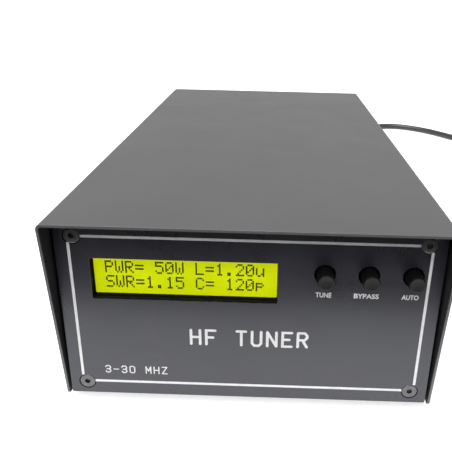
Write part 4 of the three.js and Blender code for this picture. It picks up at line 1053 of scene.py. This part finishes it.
def socket(name):
    low, high = span(f"{name}_socket_shell")
    x, _, z = middle(f"{name}_socket_shell")
    seat, mouth, neck = REAR + GAP, high.y, low.y
    turn = at(x, 0, z, BACK)
    flange = seat + 3
    holes = [(sx * FLANGE_HOLE, sz * FLANGE_HOLE) for sx in (-1, 1) for sz in (-1, 1)]
    loops = [around(0, 0, FLANGE_WIDTH, FLANGE_WIDTH, 1.2, 6), circle(0, 0, 6.9, 56)]
    bm = plate(bmesh.new(), [*loops, *[circle(a, b, 1.8, 28) for a, b in holes]], seat, flange, turn, 0.3)
    profile = [(6.8, neck), (6.8, flange - 0.02), (7.4, flange + 0.01), (7.4, flange + 1.4)]
    profile += thread(7.9, 0.55, flange + 1.8, mouth - 1.6, 1.06)
    profile += [(7.5, mouth - 0.5), (7.2, mouth), (6.7, mouth), (6.4, mouth - 0.35), (6.4, mouth - 11)]
    profile += [(4.6, mouth - 11), (4.6, neck)]
    collar(bm, profile, turn, 56)
    piece(f"{name}_shell", bm, NICKEL, f"{name}_socket_shell")

    low, high = span(f"{name}_socket_insulator")
    bm = bmesh.new()
    profile = [(3.1, low.y), (4.2, low.y), (4.3, low.y + 0.2), (4.3, high.y - 2), (6.0, high.y - 2)]
    profile += [(6.1, high.y - 1.8), (6.1, high.y - 0.2), (5.9, high.y), (5.0, high.y), (4.9, high.y - 0.4)]
    profile += [(4.1, high.y - 0.4), (4.0, high.y), (3.1, high.y)]
    collar(bm, profile, turn, 44)
    piece(f"{name}_insulator", bm, PTFE, f"{name}_socket_insulator")

    low, high = span(f"{name}_socket_contact")
    tip = high.y
    bm = bmesh.new()
    profile = [(0, low.y + 4), (1.2, low.y + 4), (1.2, low.y + 0.2), (1.4, low.y), (2.6, low.y)]
    profile += [(CONTACT_OUTER, low.y + 0.2), (CONTACT_OUTER, tip - 7), (0, tip - 7)]
    turned(bm, profile, turn, 32)
    for quarter in range(4):
        angles = turning(CONTACT_SLOT, math.pi / 2 - CONTACT_SLOT, 8)
        outer = arc(0, 0, CONTACT_OUTER, angles)
        inner = arc(0, 0, CONTACT_INNER, reversed(angles))
        spin = turn @ Matrix.Rotation(quarter * math.pi / 2 + math.pi / 4, 4, "Z")
        plate(bm, [outer + inner], tip - 7.2, tip, spin, 0.12)
    piece(f"{name}_contact", bm, CONTACT, f"{name}_socket_contact")

    for index, (dx, dz) in enumerate(holes, 1):
        corner = at(x - dx, 0, z + dz, BACK)
        pan_head(f"{name}_flange_screw_{index}", corner, flange + 0.02, 8.6)
        bm = bmesh.new()
        plate(bm, [circle(0, 0, 3.18, 6), circle(0, 0, 1.55, 24)], REAR - 4.2, REAR - 1.8, corner, 0.2)
        piece(f"{name}_flange_nut_{index}", bm, SCREW_STEEL)

    low, high = span(f"{name}_wire")
    board = low.z
    y = high.y
    bend = y - 26
    foot_y = bend + 0.9
    route = [(x, y + 0.8, z), (x, y, z), (x, bend + 8, z), (x, bend + 2.4, z - 2), (x, foot_y, z - 8)]
    route += [(x, foot_y, (z + board) / 2), (x, foot_y, board - 0.2)]
    bm = bmesh.new()
    sweep(bm, smooth_path([Vector(p) for p in route], 5), circle(0, 0, 0.88, 14), Vector((1, 0, 0)))
    piece(f"{name}_lead_wire", bm, COPPER, f"{name}_wire", weighted=False)
    bm = bmesh.new()
    joint = [(0, 17.4), (0.95, 17.3), (1.3, 16.2), (2.2, BOARD_TOP), (0, BOARD_TOP)]
    turned(bm, joint, at(x, foot_y, 0), 24)
    piece(f"{name}_wire_joint", bm, SOLDER)


def winding(bm, centre, turn, inner, outer, low, high, turns, arc, wire):
    """A wire wound round a ring's section, turn beside turn over part of the ring."""
    centre_line, half = (inner + outer) / 2, (outer - inner) / 2 + wire * 1.05
    level, tall = (low + high) / 2, (high - low) / 2 + wire * 1.05
    path = []
    steps = 16
    for i in range(turns * steps + 1):
        a = 2 * math.pi * i / steps
        c, s = math.cos(a), math.sin(a)
        square = (abs(c) ** 5 + abs(s) ** 5) ** (-1 / 5)
        swing = -arc / 2 + arc * i / (turns * steps)
        radius = centre_line + half * c * square
        local = Vector((radius * math.cos(swing), radius * math.sin(swing), level + tall * s * square))
        path.append(centre + turn @ local)
    return sweep(bm, path, circle(0, 0, wire, 7), (turn @ Vector((0, 0, 1))))


for name in ("input", "antenna"):
    socket(name)


def sensor():
    low = span("sensor_core")[0]
    x, _, z = middle("sensor_core")
    profile = [(4.3, 0.9), (4.6, 0.6), (5.5, 0.6), (5.8, 0.9)]
    profile += [(5.8, 6.1), (5.5, 6.4), (4.6, 6.4), (4.3, 6.1)]
    bm = sleeve(bmesh.new(), [(circle(0, 0, r, 40), low.y + h) for r, h in profile], at(x, 0, z, BACK))
    piece("sensor_ring", bm, FERRITE, "sensor_core")
    bm = bmesh.new()
    winding(bm, Vector((x, 0, z)), BACK.to_3x3(), 4.3, 5.8, low.y + 0.6, low.y + 6.4, 14, 4.6, 0.24)
    piece("sensor_winding", bm, COPPER, weighted=False)


sensor()


# ---------------------------------------------------------------- ground terminal
STUD_X, STUD_Z = 40, BASE + 52
STUD = 3  # radius
EAR = 3.55  # radius of a wing's round end


def terminal():
    low, high = span("ground_stud")
    turn = at(STUD_X, 0, STUD_Z, BACK)
    wall = REAR - REAR_SHEET
    bm = bmesh.new()
    head = hexagon(10)
    plate(bm, [head], low.y, wall - GAP, turn, 0.35)
    end = high.y
    profile = [(0, wall - 1), (STUD, wall - 1)] + thread(STUD, 0.45, wall - 0.2, end - 0.8, 1.0)
    profile += [(2.3, end - 0.2), (2.0, end), (0, end)]
    turned(bm, profile, turn, 36)
    piece("terminal_stud", bm, BRASS, "ground_stud")
    low, high = span("ground_hex_nut")
    bm = bmesh.new()
    bore = circle(0, 0, STUD + GAP, 40)
    plate(bm, [head, bore], low.y, high.y, turn, 0.4, 3)
    piece("terminal_nut", bm, BRASS, "ground_hex_nut")
    low, high = span("ground_washer")
    bm = plate(bmesh.new(), [circle(0, 0, 6, 56), bore], low.y, high.y, turn, 0.2)
    piece("terminal_washer", bm, BRASS, "ground_washer", "washer")
    low, high = span("ground_wing_nut")
    start, top = low.y, low.y + 6
    bm = bmesh.new()
    profile = [(3.3, start + 0.3), (3.6, start), (4.7, start), (5, start + 0.3), (4.3, top - 0.4)]
    profile += [(4.0, top), (3.5, top), (3.3, top - 0.3)]
    collar(bm, profile, turn, 48)
    for side in (-1, 1):
        ear = [Vector((3.6, 0.9)), Vector((6.4, 1.5))]
        ear += arc(9.5, 6, EAR, turning(-math.pi * 0.47, math.pi * 0.74, 14))
        ear += [Vector((5.6, 6.6)), Vector((4.6, 5.4)), Vector((3.6, 5.2))]
        lay = Matrix(((side, 0, 0, STUD_X), (0, 1, 0, start), (0, 0, side, STUD_Z), (0, 0, 0, 1)))
        plate(bm, [ear], -1, 1, lay, 0.45, 4)
    piece("terminal_wing_nut", bm, BRASS, "ground_wing_nut", "wing_nut")


terminal()

# ---------------------------------------------------------------- chassis
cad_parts["chassis"].data.materials.clear()
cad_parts["chassis"].data.materials.append(ZINC)


def rear_labels():
    bm = bmesh.new()
    places = (("INPUT", 9, -40, 56.5), ("ANTENNA", 15, 2, 56.5))
    places += (("GND", 6.6, STUD_X, 65.2), ("12 V DC", 12, LEAD_X, 34.2))
    for words, width, x, z in places:
        text(bm, words, 2.4, width, -x, z, BACK, REAR, bold=0.012)
    piece("rear_labels", bm, BLACK_STEEL, sharp=20)


rear_labels()


# ---------------------------------------------------------------- circuit
RELAY_PITCH = 13.6
RING_INNER, RING_OUTER, RING_CORNER = 10.3, 16.7, 1.6
WINDINGS = (18, 12, 8)


def main_board():
    low, high = span("main_board")
    holes = [circle(*middle(f"board_screw_{index}")[:2], 1.8, 28) for index in range(1, 5)]
    bm = plate(bmesh.new(), [rect(low.x, low.y, high.x, high.y, 2), *holes], low.z, high.z, UP, 0.1, 1)
    piece("main_circuit", bm, BOARD, "main_board")


def relays(name, node_name):
    """Seven relays in a row as one bank, with its pins through the board and a line on each lid."""
    low, high = span(node_name)
    centre = middle(node_name)[0]
    rows = [low.y + 6.35 + i * RELAY_PITCH for i in range(7)]
    bm = bmesh.new()
    for y in rows:
        plate(bm, [around(centre, y, 29, 12.7, 0.5, 3)], low.z + 0.5, high.z - 0.25, UP, 0.35)
        plate(bm, [around(centre, y, 27.6, 11.3, 0.4, 3)], high.z - 0.26, high.z, UP, 0.12)
    piece(f"{name}_relay_bank", bm, RELAY, node_name)
    joint = [(0, 12.1), (0.35, 12.2), (0.45, 13.6), (0.95, BOARD_UNDER), (0, BOARD_UNDER)]
    pin = [(0, BOARD_TOP), (0.4, BOARD_TOP), (0.4, low.z + 0.55), (0, low.z + 0.55)]
    bm = bmesh.new()
    for y in rows:
        plate(bm, [around(centre + 11.4, y, 1.2, 7, 0.5, 3)], high.z - 0.02, high.z + 0.02, UP)
        for dx in (-11.5, -3.9, 3.7, 11.3):
            for dy in (-3.75, 3.75):
                for profile in (joint, pin):
                    turned(bm, profile, at(centre + dx, y + dy, 0), 8)
    piece(f"{name}_relay_pins", bm, SOLDER)


def inductor(index):
    """A ring core with its winding."""
    low, high = span(f"inductor_{index}")
    x, y, _ = middle(f"inductor_{index}")
    bottom, top = low.z + 1.3, high.z - 1.3
    loop = rect(RING_INNER, bottom, RING_OUTER, top, RING_CORNER, 5)
    bm = bmesh.new()
    sections = [[bm.verts.new(Vector((x + p.x * math.cos(a), y + p.x * math.sin(a), p.y))) for p in loop]
                for a in turning(0, 2 * math.pi, 72)[:-1]]
    bridge(bm, sections, closed=True)
    piece(f"inductor_core_{index}", bm, IRON, f"inductor_{index}")
    bm = bmesh.new()
    winding(bm, Vector((x, y, 0)), Matrix.Identity(3), RING_INNER, RING_OUTER, bottom, top,
            WINDINGS[index - 1], 5.3, 0.55)
    piece(f"inductor_winding_{index}", bm, COPPER, weighted=False)


def controller():
    """The control chip with its rows of legs, and two smoothing capacitors."""
    x, y, base = 0, 56, BOARD_TOP
    bm = plate(bmesh.new(), [around(x, y, 9.2, 35, 0.3, 2)], base + 0.7, base + 4.1, UP, 0.35)
    piece("control_chip", bm, RELAY)
    bm = bmesh.new()
    for i in range(14):
        for side in (-1, 1):
            leg = y - 16.51 + i * PIN_PITCH
            shape = ((4.4, 2.3), (5.0, 2.3), (5.3, 1.9), (5.3, 0))
            path = [Vector((x + side * a, leg, base + b)) for a, b in shape]
            sweep(bm, path, around(0, 0, 0.9, 0.3))
    piece("control_chip_legs", bm, SOLDER, weighted=False)
    for index, (cx, cy) in enumerate(((32, 52), (44, 52)), 1):
        profile = [(0, base), (3.9, base), (4, base + 0.5), (3.75, base + 1.1), (4, base + 1.7)]
        profile += [(4, base + 11.2), (3.8, base + 11.6), (3.4, base + 11.7)]
        profile += [(3.3, base + 11.45), (0, base + 11.45)]
        piece(f"smoothing_capacitor_{index}", turned(bmesh.new(), profile, at(cx, cy, 0), 36), RELAY)


main_board()
relays("capacitor", "capacitor_relays")
relays("inductor", "inductor_relays")
for index in range(1, 4):
    inductor(index)
controller()


# ---------------------------------------------------------------- floor and light
FLOOR_HALF = 30000
FLOOR_GLOW = 0.5
CARD_NEAR, CARD_FAR = 0.07, 0.9  # metres in front of the panel
CARD_HALF, CARD_TALL = 1.2, 0.75
LOW_SKY, HIGH_SKY = 0.12, 0.3  # between these heights the surroundings grow darker
LOW_STRENGTH, HIGH_STRENGTH = 1.0, 0.45
SUN_POWER, SUN_SPREAD = 4.2, 60
SUN_PITCH, SUN_ROLL = 24, -12


def stage():
    bm = plate(bmesh.new(), [around(0, 0, 2 * FLOOR_HALF, 2 * FLOOR_HALF)], -20, 0, UP)
    bm.transform(Matrix.Scale(MM, 4))
    mesh = bpy.data.meshes.new("floor")
    bmesh.ops.recalc_face_normals(bm, faces=bm.faces)
    bm.to_mesh(mesh)
    bm.free()
    white = finish("floor", grey(0.7), grey(0.74), (0.75, 0.85), patch=3, grain=200, relief=0.001,
                   speck=0.01, Emission_Color=grey(1.0), Emission_Strength=FLOOR_GLOW)
    mesh.materials.append(white)
    floor = bpy.data.objects.new("floor", mesh)
    scene.collection.objects.link(floor)


def flag(name, corners):
    """A black card that the camera doesn't see and that casts no shadow. It darkens reflections."""
    mesh = bpy.data.meshes.new(name)
    mesh.from_pydata(corners, [], [range(len(corners))])
    black = bpy.data.materials.new(name)
    black.use_nodes = True
    shader = black.node_tree.nodes["Principled BSDF"]
    shader.inputs["Base Color"].default_value = grey(0.01)
    shader.inputs["Roughness"].default_value = 1
    mesh.materials.append(black)
    made = bpy.data.objects.new(name, mesh)
    scene.collection.objects.link(made)
    made.visible_camera = False
    made.visible_shadow = False


def lighting():
    world = bpy.data.worlds.new("studio")
    scene.world = world
    world.use_nodes = True
    back = world.node_tree.nodes["Background"]
    back.inputs["Color"].default_value = (1, 1, 1, 1)
    way = node(world.node_tree, "ShaderNodeTexCoord").outputs["Generated"]
    rise = node(world.node_tree, "ShaderNodeSeparateXYZ", {"Vector": way}).outputs["Z"]
    strength = between(world.node_tree, rise, LOW_STRENGTH, HIGH_STRENGTH, LOW_SKY, HIGH_SKY)
    world.node_tree.links.new(strength, back.inputs["Strength"])
    data = bpy.data.lights.new("overhead", "SUN")
    data.energy = SUN_POWER
    data.angle = math.radians(SUN_SPREAD)
    overhead = bpy.data.objects.new("overhead", data)
    overhead.rotation_euler = (math.radians(SUN_PITCH), math.radians(SUN_ROLL), 0)
    scene.collection.objects.link(overhead)
    near, far, side, tall = FACE * MM - CARD_NEAR, FACE * MM - CARD_FAR, CARD_HALF, CARD_TALL
    flag("floor_flag", [(-side, near, 0.001), (-side, far, 0.001), (side, far, 0.001), (side, near, 0.001)])
    flag("front_flag", [(-side, far, 0), (side, far, 0), (side, far, tall), (-side, far, tall)])
    scene.view_settings.view_transform = "Standard"


stage()
lighting()

bpy.context.view_layer.update()
